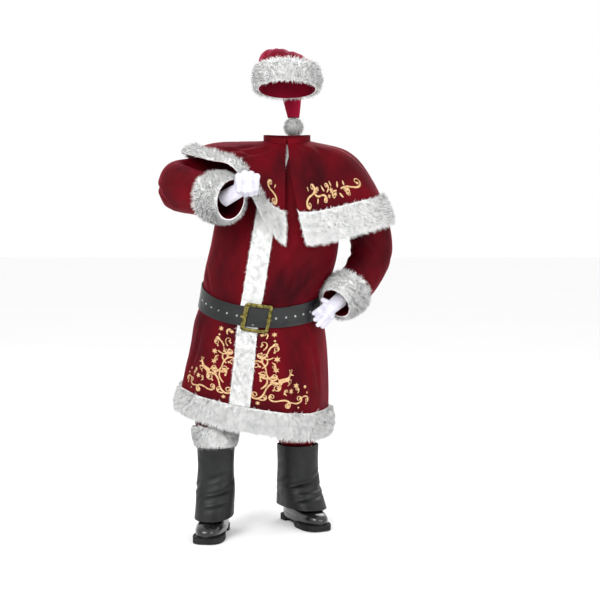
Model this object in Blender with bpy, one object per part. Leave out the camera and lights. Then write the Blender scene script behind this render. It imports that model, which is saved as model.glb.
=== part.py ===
"""Santa suit, empty and in its worn pose: hat, shoulder cape, coat, belt, trousers, gloves, boots.

Metres, +Z up. The suit faces -Y, and +X is the wearer's left. The origin is the base of the neck,
where the wearer's shoulders carry the coat and the cape. Each garment is a smooth surface of two
numbers, and each cut piece is a closed wall between two offsets of its stretch of that surface.
"""
import math

import bmesh
import bpy
from mathutils import Vector

CLOTH = 0.002            # wall of velvet with its backing
LEATHER = 0.003          # wall of belt strap and boot covers
SEAM = 0.0003            # gap between sewn pieces
FUR_PILE = 0.015         # fur trim stands this far off the velvet at its middle
FUR_EDGE = 0.006         # and this far at its edges
PRESSED_FUR = 0.0022     # fur under the belt
TURN = math.radians(13)  # the torso is turned towards the wearer's right
FLOOR = -1.46            # height of the soles' underside

PLACKET_HALF_WIDTH = 0.038
BELT_TOP, BELT_BOTTOM = -0.545, -0.630
BELT_MIDDLE = (BELT_TOP + BELT_BOTTOM) / 2
HEM_FUR_TOP, HEM_BOTTOM = -0.960, -1.050
HEM_FUR_MIDDLE = (HEM_FUR_TOP + HEM_BOTTOM) / 2
ARMHOLE_CENTRE, ARMHOLE_HALF_HEIGHT = -0.158, 0.094
ARMHOLE_HALF_ANGLE = math.radians(28)

VELVET = ((0.20, 0.004, 0.012), 0.75, 0.0)
FUR = ((0.80, 0.82, 0.80), 0.95, 0.0)
BLACK_LEATHER = ((0.02, 0.022, 0.022), 0.4, 0.0)
BRASS = ((0.30, 0.29, 0.12), 0.35, 1.0)
GLOVE_KNIT = ((0.78, 0.77, 0.84), 0.8, 0.0)
GLOSSY_LEATHER = ((0.015, 0.015, 0.016), 0.15, 0.0)
SOLE_RUBBER = ((0.01, 0.01, 0.01), 0.6, 0.0)

COAT_STATIONS = (
    # height, centre_x, centre_y, half_width, half_depth, front_dip, side_tilt
    (-0.005, 0.000, 0.012, 0.082, 0.078, 0.018, 0.00),
    (-0.030, -0.003, 0.012, 0.135, 0.100, 0.014, 0.00),
    (-0.065, -0.006, 0.012, 0.190, 0.125, 0.008, 0.00),
    (-0.120, -0.012, 0.010, 0.218, 0.150, 0.000, 0.00),
    (-0.220, -0.024, 0.000, 0.232, 0.175, 0.000, 0.00),
    (-0.310, -0.036, -0.006, 0.238, 0.195, 0.000, 0.00),
    (-0.420, -0.054, -0.012, 0.243, 0.210, 0.020, 0.00),
    (-0.500, -0.073, -0.010, 0.240, 0.207, 0.055, 0.05),
    (-0.545, -0.088, -0.005, 0.230, 0.194, 0.066, 0.10),
    (-0.630, -0.100, 0.000, 0.232, 0.190, 0.055, 0.10),
    (-0.700, -0.104, 0.000, 0.249, 0.200, 0.040, 0.10),
    (-0.800, -0.109, 0.000, 0.259, 0.208, 0.025, 0.12),
    (-0.900, -0.118, 0.000, 0.268, 0.214, 0.018, 0.15),
    (-1.050, -0.130, 0.000, 0.280, 0.222, 0.012, 0.18),
)
COAT_FOLDS = (
    # angle_at_waist, angle_at_hem, top, bottom, half_width, depth (degrees, metres)
    (26, 46, -0.66, -1.30, 9, 0.012),
    (46, 66, -0.68, -1.30, 8, 0.010),
    (-34, -38, -0.68, -1.30, 10, 0.007),
    (-62, -66, -0.70, -1.30, 9, 0.009),
    (104, 112, -0.68, -1.30, 10, 0.010),
    (146, 150, -0.66, -1.30, 10, 0.012),
    (188, 192, -0.66, -1.30, 10, 0.011),
    (232, 230, -0.68, -1.30, 10, 0.010),
    (262, 260, -0.70, -1.30, 9, 0.008),
)
COAT_ROWS = (-0.005, -0.03, -0.065, -0.105, -0.15, -0.22, -0.29, -0.36, -0.43, -0.50,
             BELT_TOP, BELT_MIDDLE, BELT_BOTTOM, -0.70, -0.79, -0.88,
             HEM_FUR_TOP, HEM_FUR_MIDDLE, HEM_BOTTOM)

CAPE_PROFILES = (
    # azimuth, shoulder reach and height, chest reach and height, hem reach and height
    (-202, 0.150, -0.045, 0.218, -0.180, 0.250, -0.358),
    (-180, 0.140, -0.045, 0.208, -0.190, 0.238, -0.362),
    (-158, 0.150, -0.040, 0.218, -0.170, 0.250, -0.335),
    (-135, 0.190, -0.025, 0.270, -0.110, 0.315, -0.230),
    (-112, 0.215, -0.008, 0.305, -0.030, 0.372, -0.095),
    (-90, 0.220, 0.002, 0.310, -0.010, 0.385, -0.042),
    (-70, 0.210, -0.008, 0.300, -0.022, 0.378, -0.056),
    (-52, 0.180, -0.024, 0.272, -0.045, 0.350, -0.080),
    (-37, 0.155, -0.038, 0.250, -0.075, 0.325, -0.105),
    (-27, 0.145, -0.048, 0.238, -0.125, 0.292, -0.195),
    (-17, 0.140, -0.055, 0.225, -0.175, 0.268, -0.310),
    (-3, 0.137, -0.060, 0.214, -0.200, 0.246, -0.382),
    (3, 0.137, -0.060, 0.214, -0.200, 0.246, -0.386),
    (25, 0.142, -0.055, 0.220, -0.200, 0.256, -0.382),
    (50, 0.165, -0.045, 0.252, -0.178, 0.302, -0.356),
    (70, 0.202, -0.036, 0.312, -0.155, 0.380, -0.320),
    (90, 0.232, -0.034, 0.326, -0.146, 0.394, -0.296),
    (110, 0.230, -0.034, 0.320, -0.148, 0.376, -0.310),
    (135, 0.190, -0.040, 0.268, -0.165, 0.305, -0.340),
    (158, 0.150, -0.045, 0.218, -0.180, 0.250, -0.358),
    (180, 0.140, -0.045, 0.208, -0.190, 0.238, -0.362),
    (202, 0.150, -0.040, 0.218, -0.170, 0.250, -0.335),
)
CAPE_NECK_REACH, CAPE_NECK_HEIGHT = 0.089, 0.006
CAPE_FUR_START = 0.76    # share of the way from neck to hem where the fur begins

SLEEVE_RIGHT = (
    # station, centre x y z, half height, half depth: upper arm level, elbow bent, forearm forward
    (1, -0.274, 0.030, -0.148, 0.093, 0.084),
    (2, -0.330, 0.024, -0.150, 0.093, 0.074),
    (3, -0.376, 0.006, -0.154, 0.092, 0.068),
    (4, -0.407, -0.030, -0.160, 0.090, 0.066),
    (5, -0.413, -0.080, -0.168, 0.088, 0.066),
    (6, -0.392, -0.123, -0.178, 0.086, 0.068),
    (7, -0.340, -0.172, -0.192, 0.081, 0.074),
    (8, -0.276, -0.232, -0.207, 0.076, 0.074),
    (9, -0.198, -0.300, -0.224, 0.070, 0.068),
)
SLEEVE_LEFT = (
    # station, centre x y z, half depth, half width: upper arm down, hand on the hip
    (1, 0.268, -0.036, -0.240, 0.084, 0.062),
    (2, 0.300, -0.016, -0.310, 0.081, 0.082),
    (3, 0.320, 0.000, -0.375, 0.083, 0.080),
    (4, 0.314, -0.004, -0.438, 0.080, 0.077),
    (5, 0.286, -0.034, -0.496, 0.075, 0.074),
    (6, 0.246, -0.076, -0.546, 0.070, 0.070),
    (7, 0.182, -0.142, -0.602, 0.060, 0.058),
)
SLEEVE_SEAM_ROWS = 1     # wall rows between the armhole and the first station

HAT_RINGS = (
    # station, centre_x, half_width, front or outer y z, nape or inner y z
    (0, 0.000, 0.107, -0.102, 0.222, 0.114, 0.178),
    (1, 0.000, 0.107, -0.104, 0.300, 0.112, 0.250),
    (2, -0.010, 0.098, -0.064, 0.334, 0.107, 0.258),
    (3, -0.016, 0.088, -0.004, 0.350, 0.107, 0.261),
    (4, -0.012, 0.076, 0.058, 0.350, 0.109, 0.263),
    (5, -0.002, 0.066, 0.106, 0.346, 0.112, 0.264),
    (6, 0.006, 0.056, 0.154, 0.334, 0.117, 0.267),
    (7, 0.012, 0.050, 0.186, 0.306, 0.127, 0.269),
    (8, 0.014, 0.046, 0.199, 0.262, 0.137, 0.258),
    (9, 0.016, 0.040, 0.197, 0.212, 0.143, 0.212),
    (10, 0.020, 0.032, 0.194, 0.160, 0.147, 0.160),
    (11, 0.024, 0.022, 0.190, 0.108, 0.154, 0.108),
)
HAT_LEAN = 0.016         # the crown is this much lower on the wearer's left
POMPOM_CENTRE, POMPOM_RADIUS = Vector((0.024, 0.172, 0.071)), 0.034

SEAT_CENTRE_X = -0.105
SEAT_ROWS = (
    # height, half_width, half_depth
    (-0.640, 0.192, 0.155),
    (-0.740, 0.206, 0.168),
    (-0.840, 0.215, 0.160),
)
LEG_ROWS = {
    # height, centre_x, centre_y, half_width, half_depth
    "right": ((-0.84, -0.214, 0.000, 0.105, 0.120), (-0.95, -0.244, -0.020, 0.098, 0.104),
              (-1.035, -0.266, -0.052, 0.088, 0.090), (-1.065, -0.270, -0.078, 0.074, 0.076),
              (-1.130, -0.264, -0.128, 0.060, 0.060), (-1.185, -0.264, -0.132, 0.054, 0.056)),
    "left": ((-0.84, 0.004, 0.010, 0.105, 0.120), (-0.95, 0.022, 0.030, 0.100, 0.108),
             (-1.06, 0.036, 0.046, 0.094, 0.096), (-1.135, 0.037, 0.052, 0.080, 0.082),
             (-1.162, 0.037, 0.054, 0.056, 0.058), (-1.235, 0.038, 0.055, 0.050, 0.052)),
}
CROTCH_START, CROTCH_END = -0.75, -0.85

BOOTS = {
    # ankle x y, direction of the toes in degrees from straight ahead, shaft half width, shaft top
    "right": (-0.264, -0.132, -8, 0.069, -1.135),
    "left": (0.040, 0.056, 27, 0.078, -1.156),
}
SHAFT_ROWS = (
    # share of the way down, centre forward, extra half width, half length
    (0.00, 0.000, 0.000, 0.072),
    (0.30, 0.000, -0.002, 0.072),
    (0.60, 0.004, 0.002, 0.078),
    (0.82, 0.018, 0.000, 0.103),
    (1.00, 0.032, 0.000, 0.128),
)
SHAFT_BOTTOM = -1.388
UPPER_ROWS = (
    # height over the floor, toe reach, heel reach, half_width
    (0.0223, 0.200, -0.082, 0.049),
    (0.042, 0.201, -0.084, 0.052),
    (0.058, 0.184, -0.082, 0.048),
    (0.072, 0.140, -0.078, 0.042),
    (0.088, 0.092, -0.075, 0.038),
    (0.112, 0.052, -0.070, 0.036),
)
SOLE_ROWS = (
    # distance ahead of the ankle, half_width, underside, top (over the floor)
    (-0.092, 0.022, 0.000, 0.022),
    (-0.076, 0.037, 0.000, 0.022),
    (-0.032, 0.039, 0.000, 0.022),
    (-0.028, 0.038, 0.012, 0.022),
    (0.040, 0.042, 0.009, 0.022),
    (0.085, 0.053, 0.000, 0.022),
    (0.150, 0.055, 0.000, 0.022),
    (0.190, 0.044, 0.002, 0.022),
    (0.208, 0.026, 0.005, 0.022),
)

GLOVE_WALL = 0.0015
WRIST_OPENING = 0.040    # the hollow runs on past the wrist by this much, which opens it
GLOVES = {
    # name, start x y z, end x y z, start radius, end radius: a row for each stretch of the hand
    "right": (
        ("wrist", -0.222, -0.279, -0.219, -0.178, -0.303, -0.196, 0.0315, 0.0285),
        ("hand_1", -0.172, -0.306, -0.180, -0.168, -0.322, -0.142, 0.017, 0.014),
        ("hand_2", -0.160, -0.306, -0.176, -0.146, -0.330, -0.134, 0.017, 0.014),
        ("hand_3", -0.146, -0.306, -0.174, -0.124, -0.332, -0.136, 0.017, 0.014),
        ("hand_4", -0.132, -0.306, -0.174, -0.104, -0.328, -0.144, 0.016, 0.013),
        ("finger_1", -0.168, -0.322, -0.142, -0.167, -0.334, -0.192, 0.0125, 0.0115),
        ("finger_2", -0.146, -0.330, -0.134, -0.146, -0.343, -0.194, 0.0125, 0.0115),
        ("finger_3", -0.124, -0.332, -0.136, -0.125, -0.343, -0.192, 0.0125, 0.0115),
        ("finger_4", -0.104, -0.328, -0.144, -0.106, -0.336, -0.188, 0.0120, 0.0105),
        ("tip_1", -0.167, -0.334, -0.192, -0.164, -0.308, -0.204, 0.0115, 0.0105),
        ("tip_2", -0.146, -0.343, -0.194, -0.145, -0.314, -0.207, 0.0115, 0.0105),
        ("tip_3", -0.125, -0.343, -0.192, -0.126, -0.314, -0.205, 0.0115, 0.0105),
        ("tip_4", -0.106, -0.336, -0.188, -0.108, -0.312, -0.200, 0.0105, 0.0100),
    ),
    "left": (
        ("wrist", 0.196, -0.134, -0.592, 0.162, -0.158, -0.618, 0.031, 0.026),
        ("hand_1", 0.170, -0.152, -0.604, 0.140, -0.165, -0.610, 0.016, 0.012),
        ("hand_2", 0.166, -0.156, -0.612, 0.147, -0.168, -0.625, 0.017, 0.012),
        ("hand_3", 0.164, -0.156, -0.620, 0.156, -0.166, -0.640, 0.017, 0.012),
        ("hand_4", 0.166, -0.152, -0.624, 0.165, -0.160, -0.652, 0.016, 0.012),
        ("finger_1", 0.140, -0.165, -0.610, 0.101, -0.156, -0.638, 0.0110, 0.0095),
        ("finger_2", 0.147, -0.168, -0.625, 0.106, -0.156, -0.661, 0.0110, 0.0095),
        ("finger_3", 0.156, -0.166, -0.640, 0.116, -0.153, -0.681, 0.0110, 0.0095),
        ("finger_4", 0.165, -0.160, -0.652, 0.133, -0.148, -0.688, 0.0105, 0.0090),
        ("thumb", 0.160, -0.156, -0.604, 0.134, -0.152, -0.590, 0.0130, 0.0105),
    ),
}

BELT_LIFT = 0.0035       # the belt stands this far off the coat, and further over the placket
BELT_PLACKET_LIFT = 0.0030
BUCKLE_ANGLE = math.radians(7)
BUCKLE_WIDTH, BUCKLE_HEIGHT = 0.088, 0.106
BUCKLE_BAR, BUCKLE_THICKNESS = 0.013, 0.006
BUCKLE_ROLL = math.radians(3)
BELT_HALF_WIDTH = 0.235   # the belt's reach to each side, which turns distance into angle
BUCKLE_LIFT = 0.0040     # the flat frame's height over the round belt at its middle
PRONG_HALF_WIDTH, PRONG_THICKNESS = 0.004, 0.0025


# ---------------------------------------------------------------- curves and surfaces

def row_at(table, position):
    """The values of a table at a position in its first column, on a smooth curve through its rows."""
    keys = [row[0] for row in table]
    if keys[0] > keys[-1]:
        table = tuple((-row[0],) + tuple(row[1:]) for row in table)
        return row_at(table, -position)
    last = len(table) - 1
    low = max([i for i in range(last) if keys[i] <= position], default=0)
    span = keys[low + 1] - keys[low]
    share = min(max((position - keys[low]) / span, 0.0), 1.0)

    def slope(i, column):
        before, after = max(i - 1, 0), min(i + 1, last)
        return (table[after][column] - table[before][column]) / (keys[after] - keys[before])

    values = []
    for column in range(1, len(table[0])):
        start, end = table[low][column], table[low + 1][column]
        start_slope, end_slope = slope(low, column) * span, slope(low + 1, column) * span
        rise = share * share * (3 - 2 * share)
        values.append(start + (end - start) * rise
                      + start_slope * share * (1 - share) ** 2
                      - end_slope * share * share * (1 - share))
    return values


def smooth_step(value, low, high):
    """0 below low and 1 above high, with a soft rise between."""
    share = min(max((value - low) / (high - low), 0.0), 1.0)
    return share * share * (3 - 2 * share)


def rounded(value, power=0.88):
    """A sine or cosine made fuller, which squares an oval a little."""
    return math.copysign(abs(value) ** power, value)


def angle_between(one, other):
    """The signed difference of two angles, in radians."""
    return (one - other + math.pi) % (2 * math.pi) - math.pi


def fold_depth(folds, height, angle):
    """How far the cloth stands out at a place, from the table of folds."""
    depth = 0.0
    for start, end, top, bottom, half_width, reach in folds:
        share = (height - top) / (bottom - top)
        middle = math.radians(start + (end - start) * share)
        away = angle_between(angle, middle) / math.radians(half_width)
        depth += reach * math.exp(-away * away) * smooth_step(top - height, 0.0, 0.25)
    return depth


def coat_point(height, angle):
    """The coat's outer side: angle 0 is the centre front, a quarter turn the wearer's left."""
    centre_x, centre_y, half_width, half_depth, dip, tilt = row_at(COAT_STATIONS, height)
    fold = fold_depth(COAT_FOLDS, height, angle)
    front = math.cos(angle)
    across = (half_width + fold) * rounded(math.sin(angle))
    ahead = (half_depth + fold) * rounded(front)
    return Vector((
        centre_x + across * math.cos(TURN) - ahead * math.sin(TURN),
        centre_y - across * math.sin(TURN) - ahead * math.cos(TURN),
        height - dip * (0.65 * front + 0.35 * front * front) - tilt * across,
    ))


def armhole_gap(height):
    """Half the angle that the armhole takes out of the coat at a height."""
    share = (height - ARMHOLE_CENTRE) / ARMHOLE_HALF_HEIGHT
    return ARMHOLE_HALF_ANGLE * math.sqrt(max(0.0, 1 - share * share))


def armhole_point(side, turn):
    """The armhole's edge on the coat's surface: turn 0 is its top, a quarter turn its front."""
    height = ARMHOLE_CENTRE + ARMHOLE_HALF_HEIGHT * math.cos(turn)
    angle = side * (math.pi / 2 - ARMHOLE_HALF_ANGLE * math.sin(turn))
    outward = coat_point(height, side * math.pi / 2) - coat_point(height, -side * math.pi / 2)
    return coat_point(height, angle) + outward.normalized() * 0.003


def sleeve_ring(table, hint, station, turn):
    """A ring of a sleeve past its first station: the hint shows where turn 0 lies."""
    centre = Vector(row_at(table, station)[:3])
    ahead = Vector(row_at(table, min(station + 0.2, table[-1][0]))[:3])
    behind = Vector(row_at(table, max(station - 0.2, table[0][0]))[:3])
    along = (ahead - behind).normalized()
    first = (hint - along * hint.dot(along)).normalized()
    second = along.cross(first)
    first_half, second_half = row_at(table, station)[3:]
    return centre + first * first_half * math.cos(turn) + second * second_half * math.sin(turn)


def sleeve_right_point(station, turn):
    """The right sleeve: station 0 is the armhole, turn 0 the top of the arm."""
    if station >= 1:
        return sleeve_ring(SLEEVE_RIGHT, Vector((0, 0, 1)), station, turn)
    edge = armhole_point(-1, -turn)
    return edge.lerp(sleeve_ring(SLEEVE_RIGHT, Vector((0, 0, 1)), 1, turn), station)


def sleeve_left_point(station, turn):
    """The left sleeve: station 0 is the armhole, turn 0 the front of the arm."""
    if station >= 1:
        return sleeve_ring(SLEEVE_LEFT, Vector((0, -1, 0)), station, turn)
    edge = armhole_point(1, turn + math.pi / 2)
    return edge.lerp(sleeve_ring(SLEEVE_LEFT, Vector((0, -1, 0)), 1, turn), station)


def cape_point(down, azimuth):
    """The cape's outer side: down runs from 0 at the neck to 1 at the hem."""
    profile = row_at(CAPE_PROFILES, math.degrees(azimuth))
    shoulder_reach, shoulder_height, chest_reach, chest_height, hem_reach, hem_height = profile
    front = math.cos(azimuth)
    neck_height = CAPE_NECK_HEIGHT - 0.018 * (0.65 * front + 0.35 * front * front)
    reach, height = row_at((
        (0.00, CAPE_NECK_REACH, neck_height),
        (0.28, shoulder_reach, shoulder_height),
        (0.62, chest_reach, chest_height),
        (1.00, hem_reach, hem_height),
    ), down)
    return Vector((reach * math.sin(azimuth), 0.012 - reach * math.cos(azimuth), height))


def hat_point(station, turn):
    """The hat's outer side: turn 0 is the front, which becomes the outside of the fallen tail."""
    centre_x, half_width, outer_y, outer_z, inner_y, inner_z = row_at(HAT_RINGS, station)
    outer, inner = Vector((centre_x, outer_y, outer_z)), Vector((centre_x, inner_y, inner_z))
    middle, half = (outer + inner) / 2, (outer - inner) / 2
    side, front = rounded(math.sin(turn), 0.95), rounded(math.cos(turn), 0.95)
    lean = HAT_LEAN * smooth_step(station, 1, 3) * (1 - smooth_step(station, 5, 7))
    drop = Vector((0, 0, -lean * side * max(front + 0.5, 0) / 1.5))
    return middle + half * front + Vector((half_width * side, 0, 0)) + drop


def leg_point(side_name, height, share):
    """A trouser leg: share runs from the centre front round the outer side to the centre back,
    and under the crotch once round the leg from the inner seam."""
    side = 1 if side_name == "left" else -1
    half_width, half_depth = row_at(SEAT_ROWS, max(height, SEAT_ROWS[-1][0]))
    turn = math.pi * share
    seat = Vector((SEAT_CENTRE_X + side * (half_width * math.sin(turn) + 0.001),
                   -half_depth * math.cos(turn), height))
    centre_x, centre_y, leg_width, leg_depth = row_at(LEG_ROWS[side_name], min(height, -0.84))
    turn = 2 * math.pi * share
    leg = Vector((centre_x - side * leg_width * math.cos(turn),
                  centre_y - leg_depth * math.sin(turn), height))
    return seat.lerp(leg, smooth_step(-height, -CROTCH_START, -CROTCH_END))


def boot_place(side_name, ahead, across, height):
    """A place beside a foot, from its distance ahead of and across the ankle."""
    ankle_x, ankle_y, toe_out, _, _ = BOOTS[side_name]
    turn = math.radians(toe_out)
    return Vector((ankle_x + ahead * math.sin(turn) + across * math.cos(turn),
                   ankle_y - ahead * math.cos(turn) + across * math.sin(turn), height))


def shaft_point(side_name, down, turn):
    """A boot cover's outer side: turn 0 is over the toes."""
    _, _, _, shaft_half_width, shaft_top = BOOTS[side_name]
    forward, extra, half_length = row_at(SHAFT_ROWS, down)
    ahead = forward + (half_length + shaft_half_width - 0.072) * rounded(math.cos(turn))
    across = (shaft_half_width + extra) * rounded(math.sin(turn))
    return boot_place(side_name, ahead, across, shaft_top + (SHAFT_BOTTOM - shaft_top) * down)


def upper_point(side_name, height, turn):
    """A shoe upper's outer side, in rings from the welt up to the ankle."""
    toe, heel, half_width = row_at(UPPER_ROWS, height)
    ahead = (toe + heel) / 2 + (toe - heel) / 2 * rounded(math.cos(turn), 0.75)
    ball = 1 + 0.10 * math.cos(turn)
    across = half_width * ball * rounded(math.sin(turn), 0.85)
    return boot_place(side_name, ahead, across, FLOOR + height)


def belt_point(height, angle):
    """The belt's inner side: it stands a little off the coat, and more over the placket."""
    over_placket = 1 - smooth_step(abs(angle_between(angle, 0)), 0.17, 0.40)
    lift = BELT_LIFT + BELT_PLACKET_LIFT * over_placket
    return moved(coat_point, height, angle, lift)


def moved(surface, first, second, distance):
    """A point of a surface, moved out along the surface's normal."""
    step = 1e-4
    here = surface(first, second)
    along = surface(first + step, second) - surface(first - step, second)
    across = surface(first, second + step) - surface(first, second - step)
    return here + across.cross(along).normalized() * distance


# ---------------------------------------------------------------- closed pieces

def material(name, finish):
    """A plain material from a colour, a roughness and a metallic value."""
    colour, roughness, metallic = finish
    made = bpy.data.materials.new(name)
    made.use_nodes = True
    shader = made.node_tree.nodes["Principled BSDF"]
    shader.inputs["Base Color"].default_value = (*colour, 1.0)
    shader.inputs["Roughness"].default_value = roughness
    shader.inputs["Metallic"].default_value = metallic
    return made


def add_object(name, finish, build_mesh):
    """A new object in the scene from a bmesh, with its faces facing out."""
    bmesh.ops.recalc_face_normals(build_mesh, faces=build_mesh.faces)
    mesh = bpy.data.meshes.new(name)
    build_mesh.to_mesh(mesh)
    build_mesh.free()
    mesh.shade_smooth()
    mesh.set_sharp_from_angle(angle=math.radians(50))
    mesh.materials.append(material(name, finish))
    made = bpy.data.objects.new(name, mesh)
    bpy.context.scene.collection.objects.link(made)
    return made


def slab(name, finish, inner, outer, wrap=False):
    """The closed solid between two grids of points; wrap joins the last column to the first."""
    rows, columns = len(outer), len(outer[0])
    build_mesh = bmesh.new()
    skins = [[[build_mesh.verts.new(point) for point in row] for row in grid]
             for grid in (outer, inner)]

    def quad(one, two, three, four):
        build_mesh.faces.new((one, two, three))
        build_mesh.faces.new((one, three, four))

    spans = columns if wrap else columns - 1
    for skin in skins:
        for row in range(rows - 1):
            for column in range(spans):
                beside = (column + 1) % columns
                quad(skin[row][column], skin[row][beside],
                     skin[row + 1][beside], skin[row + 1][column])
    front, back = skins
    for row in (0, rows - 1):
        for column in range(spans):
            beside = (column + 1) % columns
            quad(front[row][column], front[row][beside], back[row][beside], back[row][column])
    if not wrap:
        for column in (0, columns - 1):
            for row in range(rows - 1):
                quad(front[row][column], front[row + 1][column],
                     back[row + 1][column], back[row][column])
    return add_object(name, finish, build_mesh)


def pull_in(grid, edge):
    """Draws the first or last column of a grid in by a little over half a seam's gap."""
    border, beside = (0, 1) if edge == "first" else (-1, -2)
    for row in grid:
        row[border] = row[border] + (row[beside] - row[border]).normalized() * SEAM * 0.6


def wall(name, finish, surface, rows, columns, inner, outer, wrap=False, facing=1, seams=()):
    """A closed wall between two offsets of a surface.

    rows are the surface's first numbers, and columns(first) gives its second numbers there.
    inner and outer are functions of the share of the way across the rows; facing is -1 where
    the surface's numbers run so that its normal points in."""
    grids = []
    for offset in (inner, outer):
        grid = []
        for index, first in enumerate(rows):
            distance = facing * offset(index / (len(rows) - 1))
            grid.append([moved(surface, first, second, distance) for second in columns(first)])
        for edge in seams:
            pull_in(grid, edge)
        grids.append(grid)
    return slab(name, finish, grids[0], grids[1], wrap)


def constant(distance):
    """An offset that is the same everywhere."""
    return lambda share: distance


def loaf(share):
    """The outer offset of a fur band, which swells at its middle."""
    return FUR_EDGE + (FUR_PILE - FUR_EDGE) * math.sin(math.pi * share)


def flat_loaf(share):
    """The outer offset of fur that is pressed down inside a boot."""
    return 0.0035 + 0.0025 * math.sin(math.pi * share)


def velvet_panel(name, surface, rows, columns, **options):
    """A piece of velvet: its outer side is the surface."""
    return wall(name, VELVET, surface, rows, columns, constant(-CLOTH), constant(0.0), **options)


def fur_band(name, surface, rows, columns, pile=loaf, **options):
    """A fur trim that lies on a surface."""
    return wall(name, FUR, surface, rows, columns, constant(SEAM * 1.4), pile, **options)


def around(count):
    """Columns that go once round a tube."""
    return lambda first: [2 * math.pi * index / count for index in range(count)]


def evenly(start, end, count):
    """Numbers from start to end in count equal steps."""
    return [start + (end - start) * index / count for index in range(count + 1)]


# ---------------------------------------------------------------- the garments

def placket_angle(height):
    """The angle from the centre front to the placket's edge."""
    half_width = row_at(COAT_STATIONS, height)[2]
    return math.asin((PLACKET_HALF_WIDTH / half_width) ** (1 / 0.88))


def front_angles(height):
    """A front's columns, from the centre front to its side seam or armhole."""
    edge = placket_angle(height)
    return [0.0] + evenly(edge, math.pi / 2 - armhole_gap(height), 8)


def back_angles(height):
    """The back's columns, from the left side seam or armhole to the right."""
    gap = armhole_gap(height)
    return evenly(math.pi / 2 + gap, 3 * math.pi / 2 - gap, 16)


def coat():
    """Fronts, back, sleeves, neck band and fur trims of the coat."""
    velvet_panel("coat_front_left", coat_point, COAT_ROWS, front_angles, seams=("first", "last"))
    velvet_panel("coat_front_right", coat_point, COAT_ROWS,
                 lambda height: [-angle for angle in front_angles(height)], seams=("first", "last"))
    velvet_panel("coat_back", coat_point, COAT_ROWS, back_angles, seams=("first", "last"))

    def placket_pile(share):
        height = placket_rows[round(share * (len(placket_rows) - 1))]
        from_belt = max(height - BELT_TOP, BELT_BOTTOM - height)
        fullness = smooth_step(from_belt, 0.02, 0.13) * smooth_step(-height, 0.02, 0.20)
        return PRESSED_FUR + (FUR_PILE * 0.9 - PRESSED_FUR) * fullness

    placket_rows = [height for height in COAT_ROWS if height >= HEM_FUR_TOP]
    placket_rows[-1] = HEM_FUR_TOP + 0.004
    fur_band("coat_placket_fur", coat_point, placket_rows,
             lambda height: evenly(-placket_angle(height), placket_angle(height), 4),
             pile=placket_pile)

    hem_rows = (HEM_FUR_TOP, HEM_FUR_MIDDLE, HEM_BOTTOM)
    for side_name, side in (("left", 1), ("right", -1)):
        fur_band("coat_hem_fur_" + side_name, coat_point, hem_rows,
                 lambda height: [side * angle for angle in
                                 front_angles(height) + back_angles(height)[1:9]],
                 seams=("first", "last"))

    def neck_point(height, angle):
        return coat_point(COAT_ROWS[0], angle) + Vector((0, 0, height))

    velvet_panel("coat_neck_band", neck_point, (0.0006, 0.030),
                 lambda height: evenly(0.03, 2 * math.pi - 0.03, 24))

    sleeve_start = evenly(0, 1, SLEEVE_SEAM_ROWS)
    right_rows = sleeve_start + [2, 3, 4, 5, 6, 7, 8, 8.5, 9]
    left_rows = sleeve_start + [2, 3, 4, 5, 6, 6.5, 7]
    velvet_panel("coat_sleeve_right", sleeve_right_point, right_rows, around(16), wrap=True)
    velvet_panel("coat_sleeve_left", sleeve_left_point, left_rows, around(16), wrap=True)
    fur_band("coat_cuff_fur_right", sleeve_right_point, right_rows[-3:], around(16), wrap=True)
    fur_band("coat_cuff_fur_left", sleeve_left_point, left_rows[-3:], around(16), wrap=True)


def cape_azimuths(side):
    """Columns of a half of the cape, from its front edge to the centre back."""
    def columns(down):
        open_front = math.radians(2 + 15 * down * down if side > 0 else 1.5)
        return [side * azimuth for azimuth in evenly(open_front, math.pi, 16)]
    return columns


def cape():
    """Two halves, neck band and hem fur of the shoulder cape."""
    rows = (0.0, 0.14, 0.28, 0.45, 0.62, CAPE_FUR_START, 0.88, 1.0)
    for side_name, side in (("left", 1), ("right", -1)):
        velvet_panel("cape_" + side_name, cape_point, rows, cape_azimuths(side),
                     facing=-1, seams=("last",))
        fur_band("cape_hem_fur_" + side_name, cape_point, rows[-3:], cape_azimuths(side),
                 facing=-1, seams=("last",))

    def neck_point(height, azimuth):
        return cape_point(0.0, azimuth) + Vector((0, 0, height))

    velvet_panel("cape_neck_band", neck_point, (0.0012, 0.022),
                 lambda height: evenly(0.04, 2 * math.pi - 0.04, 24))


def hat():
    """Crown with its tail, brim and pompom."""
    velvet_panel("hat_crown", hat_point, (0, 0.5) + tuple(range(1, 12)), around(18), wrap=True)
    fur_band("hat_brim_fur", hat_point, (0, 0.5, 1), around(18), wrap=True)
    build_mesh = bmesh.new()
    bmesh.ops.create_icosphere(build_mesh, subdivisions=2, radius=POMPOM_RADIUS)
    bmesh.ops.translate(build_mesh, verts=build_mesh.verts, vec=POMPOM_CENTRE)
    add_object("hat_pompom", FUR, build_mesh)


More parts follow.
